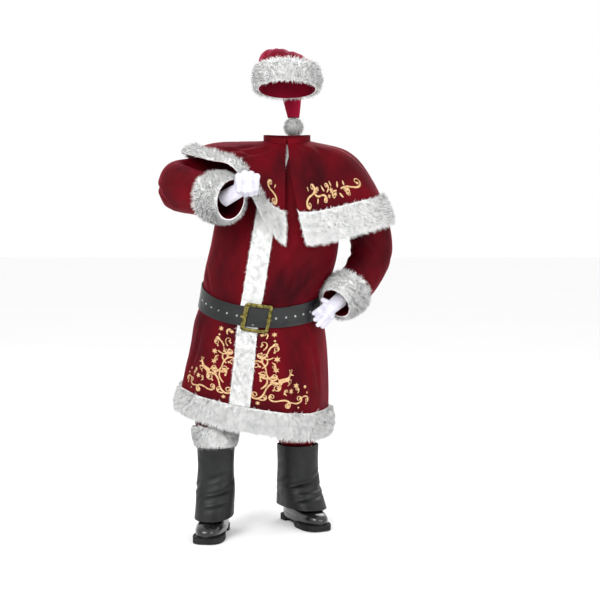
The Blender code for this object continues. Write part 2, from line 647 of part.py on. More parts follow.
def trousers():
    """One piece for each leg, a waistband and the ankle cuffs."""
    rows = {
        "right": (-0.6403, -0.70, -0.76, -0.80, -0.85, -0.92, -0.98, -1.035, -1.065, -1.0975,
                  -1.130, -1.185),
        "left": (-0.6403, -0.70, -0.76, -0.80, -0.85, -0.92, -0.99, -1.06, -1.135, -1.162,
                 -1.1985, -1.235),
    }
    for side_name, facing in (("left", 1), ("right", -1)):
        def surface(height, share):
            return leg_point(side_name, height, share)

        velvet_panel("trouser_leg_" + side_name, surface, rows[side_name],
                     lambda height: evenly(0.0, 1.0, 16), facing=facing, seams=("first", "last"))
        start = 8 if side_name == "right" else 9
        fur_band("trouser_cuff_fur_" + side_name, surface, rows[side_name][start:start + 3],
                 lambda height: evenly(0.0, 1.0, 16)[:-1], wrap=True, facing=facing,
                 pile=loaf if side_name == "right" else flat_loaf)

    def waist_point(height, turn):
        half_width, half_depth = SEAT_ROWS[0][1:]
        return Vector((SEAT_CENTRE_X + half_width * math.sin(turn),
                       -half_depth * math.cos(turn), height))

    velvet_panel("trouser_waistband", waist_point, (-0.6395, -0.600), around(28), wrap=True)


def boots():
    """A cover, a glossy upper and a sole for each foot."""
    for side_name in BOOTS:
        wall("boot_shaft_" + side_name, BLACK_LEATHER,
             lambda down, turn: shaft_point(side_name, down, turn),
             (0, 0.2, 0.4, 0.6, 0.75, 0.88, 1.0), around(16),
             constant(-LEATHER), constant(0.0), wrap=True, facing=-1)
        wall("boot_upper_" + side_name, GLOSSY_LEATHER,
             lambda height, turn: upper_point(side_name, height, turn),
             [row[0] for row in UPPER_ROWS], around(18),
             constant(-CLOTH), constant(0.0), wrap=True)
        underside = [[boot_place(side_name, ahead, across, FLOOR + low)
                      for across in (-half_width, half_width)]
                     for ahead, half_width, low, _ in SOLE_ROWS]
        top = [[boot_place(side_name, ahead, across, FLOOR + high)
                for across in (-half_width, half_width)]
               for ahead, half_width, _, high in SOLE_ROWS]
        slab("boot_sole_" + side_name, SOLE_RUBBER, underside, top)


def add_capsule(build_mesh, start, end, start_radius, end_radius, sides=8):
    """Adds a closed tapered rod with rounded ends."""
    along = (end - start).normalized()
    first = along.orthogonal().normalized()
    second = along.cross(first)
    rings = []
    for centre, radius in ((start - along * start_radius * 0.45, start_radius * 0.90),
                           (end + along * end_radius * 0.45, end_radius * 0.90)):
        rings.append([build_mesh.verts.new(centre + (first * math.cos(turn)
                                                     + second * math.sin(turn)) * radius)
                      for turn in evenly(0, 2 * math.pi, sides)[:-1]])
    poles = [build_mesh.verts.new(start - along * start_radius),
             build_mesh.verts.new(end + along * end_radius)]
    for index in range(sides):
        beside = (index + 1) % sides
        build_mesh.faces.new((rings[0][index], rings[0][beside],
                              rings[1][beside], rings[1][index]))
        for pole, ring in zip(poles, rings):
            build_mesh.faces.new((pole, ring[index], ring[beside]))


def hand_bones(side_name, shrink):
    """A glove's stretches as capsules, made smaller all round by shrink."""
    build_mesh = bmesh.new()
    for name, x1, y1, z1, x2, y2, z2, start_radius, end_radius in GLOVES[side_name]:
        start, end = Vector((x1, y1, z1)), Vector((x2, y2, z2))
        if name == "wrist" and not shrink:
            continue
        if name == "wrist":
            start = start - (end - start).normalized() * WRIST_OPENING
        add_capsule(build_mesh, start, end, start_radius - shrink, end_radius - shrink,
                    12 if name == "wrist" else 8)
    return build_mesh


def boolean(target, operation, cutter):
    """Joins a guide object to the target or cuts it out, and hides the guide."""
    cutter.hide_render = True
    cutter.display_type = "WIRE"
    modifier = target.modifiers.new(operation.lower(), "BOOLEAN")
    modifier.operation = operation
    modifier.object = cutter
    modifier.solver = "EXACT"
    modifier.use_self = True


def gloves():
    """Hollow gloves: the union of the hand's stretches less the same stretches made smaller."""
    for side_name in GLOVES:
        seed = bmesh.new()
        _, x1, y1, z1, x2, y2, z2, start_radius, end_radius = GLOVES[side_name][0]
        add_capsule(seed, Vector((x1, y1, z1)), Vector((x2, y2, z2)),
                    start_radius, end_radius, 12)
        glove = add_object("glove_" + side_name, GLOVE_KNIT, seed)
        hand = add_object("glove_form_" + side_name, GLOVE_KNIT, hand_bones(side_name, 0.0))
        hollow = add_object("glove_hollow_" + side_name, GLOVE_KNIT,
                            hand_bones(side_name, GLOVE_WALL))
        boolean(glove, "UNION", hand)
        boolean(glove, "DIFFERENCE", hollow)


def on_belt(across, up, lift):
    """A place over the belt's outer side beside the buckle's centre, with the buckle's roll."""
    turned_across = across * math.cos(BUCKLE_ROLL) + up * math.sin(BUCKLE_ROLL)
    turned_up = up * math.cos(BUCKLE_ROLL) - across * math.sin(BUCKLE_ROLL)
    angle = BUCKLE_ANGLE + turned_across / BELT_HALF_WIDTH
    base = moved(belt_point, BELT_MIDDLE, angle, LEATHER + lift)
    above, below = belt_point(BELT_MIDDLE + 0.01, angle), belt_point(BELT_MIDDLE - 0.01, angle)
    upward = (above - below).normalized()
    return base + upward * turned_up


def buckle_outline(inset):
    """The buckle's rounded rectangle, drawn in by inset, as across and up from its centre."""
    corner = max(0.012 - 0.7 * inset, 0.003)
    half_across = BUCKLE_WIDTH / 2 - inset - corner
    half_up = BUCKLE_HEIGHT / 2 - inset - corner
    outline = []
    for quarter, (side, level) in enumerate(((1, 1), (-1, 1), (-1, -1), (1, -1))):
        for turn in (0, 30, 60, 90):
            angle = math.radians(90 * quarter + turn)
            outline.append((side * half_across + corner * math.cos(angle),
                            level * half_up + corner * math.sin(angle)))
    return outline


def buckle():
    """The frame, and the two ends of its prong that show on the side bars."""
    section = (
        # share of the bar's width inwards, share of its thickness
        (0.00, 0.10), (0.10, 0.75), (0.45, 1.00), (0.85, 0.80), (1.00, 0.10), (0.90, 0.0), (0.08, 0.0),
    )
    build_mesh = bmesh.new()
    loops = [[build_mesh.verts.new(on_belt(across, up, BUCKLE_LIFT + rise * BUCKLE_THICKNESS))
              for across, up in buckle_outline(inward * BUCKLE_BAR)]
             for inward, rise in section]
    for row, loop in enumerate(loops):
        following = loops[(row + 1) % len(loops)]
        for column, corner in enumerate(loop):
            beside = (column + 1) % len(loop)
            build_mesh.faces.new((corner, loop[beside], following[beside], following[column]))
    add_object("buckle_frame", BRASS, build_mesh)

    bar_middle = BUCKLE_WIDTH / 2 - BUCKLE_BAR / 2
    for name, across, half_length in (("buckle_prong_loop", bar_middle, 0.0095),
                                      ("buckle_prong_tip", -bar_middle - 0.003, 0.0080)):
        low = BUCKLE_LIFT + BUCKLE_THICKNESS + SEAM
        grids = [[[on_belt(across + side * half_length, level * PRONG_HALF_WIDTH, lift)
                   for side in (-1, 0, 1)] for level in (-1, 1)]
                 for lift in (low, low + PRONG_THICKNESS)]
        slab(name, BRASS, grids[0], grids[1])


def belt():
    """The strap, all round in one closed loop."""
    def all_angles(height):
        left = front_angles(height)
        right = [2 * math.pi - angle for angle in reversed(left[1:-1])]
        return left + back_angles(height)[1:] + right

    wall("belt_strap", BLACK_LEATHER, belt_point, (BELT_TOP, BELT_MIDDLE, BELT_BOTTOM), all_angles,
         constant(0.0), constant(LEATHER), wrap=True)


def main():
    """Clears the scene and builds the suit."""
    for old in list(bpy.data.objects):
        bpy.data.objects.remove(old, do_unlink=True)
    coat()
    cape()
    hat()
    trousers()
    boots()
    gloves()
    belt()
    buckle()


main()
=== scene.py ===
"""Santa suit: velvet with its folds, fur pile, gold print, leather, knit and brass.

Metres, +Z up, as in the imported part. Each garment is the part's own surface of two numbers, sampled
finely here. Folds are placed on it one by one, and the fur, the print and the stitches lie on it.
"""
import math

import bmesh
import bpy
import numpy as np
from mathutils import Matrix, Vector


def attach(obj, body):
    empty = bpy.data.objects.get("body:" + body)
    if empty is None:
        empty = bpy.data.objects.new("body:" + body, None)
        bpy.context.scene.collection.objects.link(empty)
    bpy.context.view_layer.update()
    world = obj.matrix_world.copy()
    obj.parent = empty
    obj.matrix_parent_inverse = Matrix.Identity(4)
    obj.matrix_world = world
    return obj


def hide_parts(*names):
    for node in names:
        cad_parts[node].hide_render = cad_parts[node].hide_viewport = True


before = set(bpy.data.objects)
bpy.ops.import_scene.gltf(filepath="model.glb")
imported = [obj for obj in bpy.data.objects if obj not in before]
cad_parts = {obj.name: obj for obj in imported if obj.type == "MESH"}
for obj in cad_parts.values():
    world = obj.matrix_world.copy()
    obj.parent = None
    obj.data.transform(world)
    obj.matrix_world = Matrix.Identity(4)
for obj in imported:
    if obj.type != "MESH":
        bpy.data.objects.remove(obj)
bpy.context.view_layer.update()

CLOTH = 0.002            # wall of velvet with its backing
LEATHER = 0.003          # wall of belt strap and boot covers
PRESSED_FUR = 0.0022     # fur under the belt
TURN = math.radians(13)  # the torso is turned towards the wearer's right
FLOOR = -1.46            # height of the soles' underside
OVAL_POWER = 0.88        # makes an oval a little square

PLACKET_HALF_WIDTH = 0.038
BELT_TOP, BELT_BOTTOM = -0.545, -0.630
BELT_MIDDLE = (BELT_TOP + BELT_BOTTOM) / 2
HEM_FUR_TOP, HEM_BOTTOM = -0.960, -1.050
ARMHOLE_CENTRE, ARMHOLE_HALF_HEIGHT = -0.158, 0.094
ARMHOLE_HALF_ANGLE = math.radians(28)

COAT_TOP = -0.005

COAT_STATIONS = (
    # height, centre_x, centre_y, half_width, half_depth, front_dip, side_tilt
    (-0.005, 0.000, 0.012, 0.082, 0.078, 0.018, 0.00),
    (-0.030, -0.003, 0.012, 0.135, 0.100, 0.014, 0.00),
    (-0.065, -0.006, 0.012, 0.190, 0.125, 0.008, 0.00),
    (-0.120, -0.012, 0.010, 0.218, 0.150, 0.000, 0.00),
    (-0.220, -0.024, 0.000, 0.232, 0.175, 0.000, 0.00),
    (-0.310, -0.036, -0.006, 0.238, 0.195, 0.000, 0.00),
    (-0.420, -0.054, -0.012, 0.243, 0.210, 0.020, 0.00),
    (-0.500, -0.073, -0.010, 0.240, 0.207, 0.055, 0.05),
    (-0.545, -0.088, -0.005, 0.230, 0.194, 0.066, 0.10),
    (-0.630, -0.100, 0.000, 0.232, 0.190, 0.055, 0.10),
    (-0.700, -0.104, 0.000, 0.249, 0.200, 0.040, 0.10),
    (-0.800, -0.109, 0.000, 0.259, 0.208, 0.025, 0.12),
    (-0.900, -0.118, 0.000, 0.268, 0.214, 0.018, 0.15),
    (-1.050, -0.130, 0.000, 0.280, 0.222, 0.012, 0.18),
)
COAT_FOLDS = (
    # angle_at_waist, angle_at_hem, top, bottom, half_width, depth (degrees, metres)
    (26, 46, -0.66, -1.30, 9, 0.012),
    (46, 66, -0.68, -1.30, 8, 0.010),
    (-34, -38, -0.68, -1.30, 10, 0.007),
    (-62, -66, -0.70, -1.30, 9, 0.009),
    (104, 112, -0.68, -1.30, 10, 0.010),
    (146, 150, -0.66, -1.30, 10, 0.012),
    (188, 192, -0.66, -1.30, 10, 0.011),
    (232, 230, -0.68, -1.30, 10, 0.010),
    (262, 260, -0.70, -1.30, 9, 0.008),
)

CAPE_PROFILES = (
    # azimuth, shoulder reach and height, chest reach and height, hem reach and height
    (-202, 0.150, -0.045, 0.218, -0.180, 0.250, -0.358),
    (-180, 0.140, -0.045, 0.208, -0.190, 0.238, -0.362),
    (-158, 0.150, -0.040, 0.218, -0.170, 0.250, -0.335),
    (-135, 0.190, -0.025, 0.270, -0.110, 0.315, -0.230),
    (-112, 0.215, -0.008, 0.305, -0.030, 0.372, -0.095),
    (-90, 0.220, 0.002, 0.310, -0.010, 0.385, -0.042),
    (-70, 0.210, -0.008, 0.300, -0.022, 0.378, -0.056),
    (-52, 0.180, -0.024, 0.272, -0.045, 0.350, -0.080),
    (-37, 0.155, -0.038, 0.250, -0.075, 0.325, -0.105),
    (-27, 0.145, -0.048, 0.238, -0.125, 0.292, -0.195),
    (-17, 0.140, -0.055, 0.225, -0.175, 0.268, -0.310),
    (-3, 0.137, -0.060, 0.214, -0.200, 0.246, -0.382),
    (3, 0.137, -0.060, 0.214, -0.200, 0.246, -0.386),
    (25, 0.142, -0.055, 0.220, -0.200, 0.256, -0.382),
    (50, 0.165, -0.045, 0.252, -0.178, 0.302, -0.356),
    (70, 0.202, -0.036, 0.312, -0.155, 0.380, -0.320),
    (90, 0.232, -0.034, 0.326, -0.146, 0.394, -0.296),
    (110, 0.230, -0.034, 0.320, -0.148, 0.376, -0.310),
    (135, 0.190, -0.040, 0.268, -0.165, 0.305, -0.340),
    (158, 0.150, -0.045, 0.218, -0.180, 0.250, -0.358),
    (180, 0.140, -0.045, 0.208, -0.190, 0.238, -0.362),
    (202, 0.150, -0.040, 0.218, -0.170, 0.250, -0.335),
)
CAPE_NECK_REACH, CAPE_NECK_HEIGHT = 0.089, 0.006
CAPE_FUR_START = 0.76    # share of the way from neck to hem where the fur begins

SLEEVE_RIGHT = (
    # station, centre x y z, half height, half depth: upper arm level, elbow bent, forearm forward
    (1, -0.274, 0.030, -0.148, 0.093, 0.084),
    (2, -0.330, 0.024, -0.150, 0.093, 0.074),
    (3, -0.376, 0.006, -0.154, 0.092, 0.068),
    (4, -0.407, -0.030, -0.160, 0.090, 0.066),
    (5, -0.413, -0.080, -0.168, 0.088, 0.066),
    (6, -0.392, -0.123, -0.178, 0.086, 0.068),
    (7, -0.340, -0.172, -0.192, 0.081, 0.074),
    (8, -0.276, -0.232, -0.207, 0.076, 0.074),
    (9, -0.198, -0.300, -0.224, 0.070, 0.068),
)
SLEEVE_LEFT = (
    # station, centre x y z, half depth, half width: upper arm down, hand on the hip
    (1, 0.268, -0.036, -0.240, 0.084, 0.062),
    (2, 0.300, -0.016, -0.310, 0.081, 0.082),
    (3, 0.320, 0.000, -0.375, 0.083, 0.080),
    (4, 0.314, -0.004, -0.438, 0.080, 0.077),
    (5, 0.286, -0.034, -0.496, 0.075, 0.074),
    (6, 0.246, -0.076, -0.546, 0.070, 0.070),
    (7, 0.182, -0.142, -0.602, 0.060, 0.058),
)

HAT_RINGS = (
    # station, centre_x, half_width, front or outer y z, nape or inner y z
    (0, 0.000, 0.107, -0.102, 0.222, 0.114, 0.178),
    (1, 0.000, 0.107, -0.104, 0.300, 0.112, 0.250),
    (2, -0.010, 0.098, -0.064, 0.334, 0.107, 0.258),
    (3, -0.016, 0.088, -0.004, 0.350, 0.107, 0.261),
    (4, -0.012, 0.076, 0.058, 0.350, 0.109, 0.263),
    (5, -0.002, 0.066, 0.106, 0.346, 0.112, 0.264),
    (6, 0.006, 0.056, 0.154, 0.334, 0.117, 0.267),
    (7, 0.012, 0.050, 0.186, 0.306, 0.127, 0.269),
    (8, 0.014, 0.046, 0.199, 0.262, 0.137, 0.258),
    (9, 0.016, 0.040, 0.197, 0.212, 0.143, 0.212),
    (10, 0.020, 0.032, 0.194, 0.160, 0.147, 0.160),
    (11, 0.024, 0.022, 0.190, 0.108, 0.154, 0.108),
)
HAT_LEAN = 0.016         # the crown is this much lower on the wearer's left
POMPOM_CENTRE, POMPOM_RADIUS = Vector((0.024, 0.172, 0.071)), 0.034

SEAT_CENTRE_X = -0.105
SEAT_ROWS = (
    # height, half_width, half_depth
    (-0.640, 0.192, 0.155),
    (-0.740, 0.206, 0.168),
    (-0.840, 0.215, 0.160),
)
LEG_ROWS = {
    # height, centre_x, centre_y, half_width, half_depth
    "right": ((-0.84, -0.214, 0.000, 0.105, 0.120), (-0.95, -0.244, -0.020, 0.098, 0.104),
              (-1.035, -0.266, -0.052, 0.088, 0.090), (-1.065, -0.270, -0.078, 0.074, 0.076),
              (-1.130, -0.264, -0.128, 0.060, 0.060), (-1.185, -0.264, -0.132, 0.054, 0.056)),
    "left": ((-0.84, 0.004, 0.010, 0.105, 0.120), (-0.95, 0.022, 0.030, 0.100, 0.108),
             (-1.06, 0.036, 0.046, 0.094, 0.096), (-1.135, 0.037, 0.052, 0.080, 0.082),
             (-1.162, 0.037, 0.054, 0.056, 0.058), (-1.235, 0.038, 0.055, 0.050, 0.052)),
}
CROTCH_START, CROTCH_END = -0.75, -0.85

BOOTS = {
    # ankle x y, direction of the toes in degrees from straight ahead, shaft half width, shaft top
    "right": (-0.264, -0.132, -8, 0.069, -1.135),
    "left": (0.040, 0.056, 27, 0.078, -1.156),
}
SHAFT_ROWS = (
    # share of the way down, centre forward, extra half width, half length
    (0.00, 0.000, 0.000, 0.072),
    (0.30, 0.000, -0.002, 0.072),
    (0.60, 0.004, 0.002, 0.078),
    (0.82, 0.018, 0.000, 0.103),
    (1.00, 0.032, 0.000, 0.128),
)
SHAFT_BOTTOM = -1.388
UPPER_ROWS = (
    # height over the floor, toe reach, heel reach, half_width
    (0.0223, 0.200, -0.082, 0.049),
    (0.042, 0.201, -0.084, 0.052),
    (0.058, 0.184, -0.082, 0.048),
    (0.072, 0.140, -0.078, 0.042),
    (0.088, 0.092, -0.075, 0.038),
    (0.112, 0.052, -0.070, 0.036),
)
SOLE_ROWS = (
    # distance ahead of the ankle, half_width, underside, top (over the floor)
    (-0.092, 0.022, 0.000, 0.022),
    (-0.076, 0.037, 0.000, 0.022),
    (-0.032, 0.039, 0.000, 0.022),
    (-0.028, 0.038, 0.012, 0.022),
    (0.040, 0.042, 0.009, 0.022),
    (0.085, 0.053, 0.000, 0.022),
    (0.150, 0.055, 0.000, 0.022),
    (0.190, 0.044, 0.002, 0.022),
    (0.208, 0.026, 0.005, 0.022),
)

GLOVES = {
    # name, start x y z, end x y z, start radius, end radius: a row for each stretch of the hand
    "right": (
        ("wrist", -0.222, -0.279, -0.219, -0.178, -0.303, -0.196, 0.0315, 0.0285),
        ("hand_1", -0.172, -0.306, -0.180, -0.168, -0.322, -0.142, 0.017, 0.014),
        ("hand_2", -0.160, -0.306, -0.176, -0.146, -0.330, -0.134, 0.017, 0.014),
        ("hand_3", -0.146, -0.306, -0.174, -0.124, -0.332, -0.136, 0.017, 0.014),
        ("hand_4", -0.132, -0.306, -0.174, -0.104, -0.328, -0.144, 0.016, 0.013),
        ("finger_1", -0.168, -0.322, -0.142, -0.167, -0.334, -0.192, 0.0125, 0.0115),
        ("finger_2", -0.146, -0.330, -0.134, -0.146, -0.343, -0.194, 0.0125, 0.0115),
        ("finger_3", -0.124, -0.332, -0.136, -0.125, -0.343, -0.192, 0.0125, 0.0115),
        ("finger_4", -0.104, -0.328, -0.144, -0.106, -0.336, -0.188, 0.0120, 0.0105),
        ("tip_1", -0.167, -0.334, -0.192, -0.164, -0.308, -0.204, 0.0115, 0.0105),
        ("tip_2", -0.146, -0.343, -0.194, -0.145, -0.314, -0.207, 0.0115, 0.0105),
        ("tip_3", -0.125, -0.343, -0.192, -0.126, -0.314, -0.205, 0.0115, 0.0105),
        ("tip_4", -0.106, -0.336, -0.188, -0.108, -0.312, -0.200, 0.0105, 0.0100),
    ),
    "left": (
        ("wrist", 0.196, -0.134, -0.592, 0.162, -0.158, -0.618, 0.031, 0.026),
        ("hand_1", 0.170, -0.152, -0.604, 0.140, -0.165, -0.610, 0.016, 0.012),
        ("hand_2", 0.166, -0.156, -0.612, 0.147, -0.168, -0.625, 0.017, 0.012),
        ("hand_3", 0.164, -0.156, -0.620, 0.156, -0.166, -0.640, 0.017, 0.012),
        ("hand_4", 0.166, -0.152, -0.624, 0.165, -0.160, -0.652, 0.016, 0.012),
        ("finger_1", 0.140, -0.165, -0.610, 0.101, -0.156, -0.638, 0.0110, 0.0095),
        ("finger_2", 0.147, -0.168, -0.625, 0.106, -0.156, -0.661, 0.0110, 0.0095),
        ("finger_3", 0.156, -0.166, -0.640, 0.116, -0.153, -0.681, 0.0110, 0.0095),
        ("finger_4", 0.165, -0.160, -0.652, 0.133, -0.148, -0.688, 0.0105, 0.0090),
        ("thumb", 0.160, -0.156, -0.604, 0.134, -0.152, -0.590, 0.0130, 0.0105),
    ),
}

BELT_LIFT = 0.0035       # the belt stands this far off the coat, and further over the placket
BELT_PLACKET_LIFT = 0.0030
BUCKLE_ANGLE = math.radians(7)
BUCKLE_WIDTH, BUCKLE_HEIGHT = 0.088, 0.106
BUCKLE_BAR, BUCKLE_THICKNESS = 0.013, 0.006
BUCKLE_ROLL = math.radians(3)
BELT_HALF_WIDTH = 0.235  # turns distance into angle, too widely here: the frame is 0.120 m across
BUCKLE_LIFT = 0.0040     # the flat frame's height over the round belt at its middle


# ---------------------------------------------------------------- curves and surfaces

def row_at(table, position):
    """The values of a table at a position in its first column, on a smooth curve through its rows."""
    keys = [row[0] for row in table]
    if keys[0] > keys[-1]:
        table = tuple((-row[0],) + tuple(row[1:]) for row in table)
        return row_at(table, -position)
    last = len(table) - 1
    low = max([i for i in range(last) if keys[i] <= position], default=0)
    span = keys[low + 1] - keys[low]
    share = min(max((position - keys[low]) / span, 0.0), 1.0)

    def slope(i, column):
        before, after = max(i - 1, 0), min(i + 1, last)
        return (table[after][column] - table[before][column]) / (keys[after] - keys[before])

    values = []
    for column in range(1, len(table[0])):
        start, end = table[low][column], table[low + 1][column]
        start_slope, end_slope = slope(low, column) * span, slope(low + 1, column) * span
        rise = share * share * (3 - 2 * share)
        values.append(start + (end - start) * rise
                      + start_slope * share * (1 - share) ** 2
                      - end_slope * share * share * (1 - share))
    return values


def smooth_step(value, low, high):
    """0 below low and 1 above high, with a soft rise between."""
    share = min(max((value - low) / (high - low), 0.0), 1.0)
    return share * share * (3 - 2 * share)


def rounded(value, power=OVAL_POWER):
    """A sine or cosine made fuller, which squares an oval a little."""
    return math.copysign(abs(value) ** power, value)


def angle_between(one, other):
    """The signed difference of two angles, in radians."""
    return (one - other + math.pi) % (2 * math.pi) - math.pi


def fold_depth(folds, height, angle):
    """How far the cloth stands out at a place, from the table of folds."""
    depth = 0.0
    for start, end, top, bottom, half_width, reach in folds:
        share = (height - top) / (bottom - top)
        middle = math.radians(start + (end - start) * share)
        away = angle_between(angle, middle) / math.radians(half_width)
        depth += reach * math.exp(-away * away) * smooth_step(top - height, 0.0, 0.25)
    return depth


def coat_point(height, angle):
    """The coat's outer side: angle 0 is the centre front, a quarter turn the wearer's left."""
    centre_x, centre_y, half_width, half_depth, dip, tilt = row_at(COAT_STATIONS, height)
    fold = fold_depth(COAT_FOLDS, height, angle)
    front = math.cos(angle)
    across = (half_width + fold) * rounded(math.sin(angle))
    ahead = (half_depth + fold) * rounded(front)
    return Vector((
        centre_x + across * math.cos(TURN) - ahead * math.sin(TURN),
        centre_y - across * math.sin(TURN) - ahead * math.cos(TURN),
        height - dip * (0.65 * front + 0.35 * front * front) - tilt * across,
    ))


def armhole_gap(height):
    """Half the angle that the armhole takes out of the coat at a height."""
    share = (height - ARMHOLE_CENTRE) / ARMHOLE_HALF_HEIGHT
    return ARMHOLE_HALF_ANGLE * math.sqrt(max(0.0, 1 - share * share))


def armhole_point(side, turn):
    """The armhole's edge on the coat's surface: turn 0 is its top, a quarter turn its front."""
    height = ARMHOLE_CENTRE + ARMHOLE_HALF_HEIGHT * math.cos(turn)
    angle = side * (math.pi / 2 - ARMHOLE_HALF_ANGLE * math.sin(turn))
    outward = coat_point(height, side * math.pi / 2) - coat_point(height, -side * math.pi / 2)
    return coat_point(height, angle) + outward.normalized() * 0.003


def sleeve_ring(table, hint, station, turn):
    """A ring of a sleeve past its first station: the hint shows where turn 0 lies."""
    centre = Vector(row_at(table, station)[:3])
    ahead = Vector(row_at(table, min(station + 0.2, table[-1][0]))[:3])
    behind = Vector(row_at(table, max(station - 0.2, table[0][0]))[:3])
    along = (ahead - behind).normalized()
    first = (hint - along * hint.dot(along)).normalized()
    second = along.cross(first)
    first_half, second_half = row_at(table, station)[3:]
    return centre + first * first_half * math.cos(turn) + second * second_half * math.sin(turn)


def sleeve_right_point(station, turn):
    """The right sleeve: station 0 is the armhole, turn 0 the top of the arm."""
    if station >= 1:
        return sleeve_ring(SLEEVE_RIGHT, Vector((0, 0, 1)), station, turn)
    edge = armhole_point(-1, -turn)
    return edge.lerp(sleeve_ring(SLEEVE_RIGHT, Vector((0, 0, 1)), 1, turn), station)


def sleeve_left_point(station, turn):
    """The left sleeve: station 0 is the armhole, turn 0 the front of the arm."""
    if station >= 1:
        return sleeve_ring(SLEEVE_LEFT, Vector((0, -1, 0)), station, turn)
    edge = armhole_point(1, turn + math.pi / 2)
    return edge.lerp(sleeve_ring(SLEEVE_LEFT, Vector((0, -1, 0)), 1, turn), station)


def cape_point(down, azimuth):
    """The cape's outer side: down runs from 0 at the neck to 1 at the hem."""
    profile = row_at(CAPE_PROFILES, math.degrees(azimuth))
    shoulder_reach, shoulder_height, chest_reach, chest_height, hem_reach, hem_height = profile
    front = math.cos(azimuth)
    neck_height = CAPE_NECK_HEIGHT - 0.018 * (0.65 * front + 0.35 * front * front)
    reach, height = row_at((
        (0.00, CAPE_NECK_REACH, neck_height),
        (0.28, shoulder_reach, shoulder_height),
        (0.62, chest_reach, chest_height),
        (1.00, hem_reach, hem_height),
    ), down)
    return Vector((reach * math.sin(azimuth), 0.012 - reach * math.cos(azimuth), height))


def hat_point(station, turn):
    """The hat's outer side: turn 0 is the front, which becomes the outside of the fallen tail."""
    centre_x, half_width, outer_y, outer_z, inner_y, inner_z = row_at(HAT_RINGS, station)
    outer, inner = Vector((centre_x, outer_y, outer_z)), Vector((centre_x, inner_y, inner_z))
    middle, half = (outer + inner) / 2, (outer - inner) / 2
    side, front = rounded(math.sin(turn), 0.95), rounded(math.cos(turn), 0.95)
    lean = HAT_LEAN * smooth_step(station, 1, 3) * (1 - smooth_step(station, 5, 7))
    drop = Vector((0, 0, -lean * side * max(front + 0.5, 0) / 1.5))
    return middle + half * front + Vector((half_width * side, 0, 0)) + drop


def leg_point(side_name, height, share):
    """A trouser leg: share runs from the centre front round the outer side to the centre back,
    and under the crotch once round the leg from the inner seam."""
    side = 1 if side_name == "left" else -1
    half_width, half_depth = row_at(SEAT_ROWS, max(height, SEAT_ROWS[-1][0]))
    turn = math.pi * share
    seat = Vector((SEAT_CENTRE_X + side * (half_width * math.sin(turn) + 0.001),
                   -half_depth * math.cos(turn), height))
    centre_x, centre_y, leg_width, leg_depth = row_at(LEG_ROWS[side_name], min(height, -0.84))
    turn = 2 * math.pi * share
    leg = Vector((centre_x - side * leg_width * math.cos(turn),
                  centre_y - leg_depth * math.sin(turn), height))
    return seat.lerp(leg, smooth_step(-height, -CROTCH_START, -CROTCH_END))


def boot_place(side_name, ahead, across, height):
    """A place beside a foot, from its distance ahead of and across the ankle."""
    ankle_x, ankle_y, toe_out, _, _ = BOOTS[side_name]
    turn = math.radians(toe_out)
    return Vector((ankle_x + ahead * math.sin(turn) + across * math.cos(turn),
                   ankle_y - ahead * math.cos(turn) + across * math.sin(turn), height))


def shaft_point(side_name, down, turn):
    """A boot cover's outer side: turn 0 is over the toes."""
    _, _, _, shaft_half_width, shaft_top = BOOTS[side_name]
    forward, extra, half_length = row_at(SHAFT_ROWS, down)
    ahead = forward + (half_length + shaft_half_width - 0.072) * rounded(math.cos(turn))
    across = (shaft_half_width + extra) * rounded(math.sin(turn))
    return boot_place(side_name, ahead, across, shaft_top + (SHAFT_BOTTOM - shaft_top) * down)


def upper_point(side_name, height, turn):
    """A shoe upper's outer side, in rings from the welt up to the ankle."""
    toe, heel, half_width = row_at(UPPER_ROWS, height)
    ahead = (toe + heel) / 2 + (toe - heel) / 2 * rounded(math.cos(turn), 0.75)
    ball = 1 + 0.10 * math.cos(turn)
    across = half_width * ball * rounded(math.sin(turn), 0.85)
    return boot_place(side_name, ahead, across, FLOOR + height)


def belt_point(height, angle):
    """The belt's inner side: it stands a little off the coat, and more over the placket."""
    over_placket = 1 - smooth_step(abs(angle_between(angle, 0)), 0.17, 0.40)
    lift = BELT_LIFT + BELT_PLACKET_LIFT * over_placket
    return moved(coat_point, height, angle, lift)


def moved(surface, first, second, distance):
    """A point of a surface, moved out along the surface's normal."""
    step = 1e-4
    here = surface(first, second)
    along = surface(first + step, second) - surface(first - step, second)
    across = surface(first, second + step) - surface(first, second - step)
    return here + across.cross(along).normalized() * distance


# ---------------------------------------------------------------- colours and materials

def colour(code):
    """A linear colour from the usual six-figure code of a screen colour."""
    parts = [int(code[start:start + 2], 16) / 255 for start in (0, 2, 4)]
    return [part / 12.92 if part < 0.04045 else ((part + 0.055) / 1.055) ** 2.4 for part in parts]


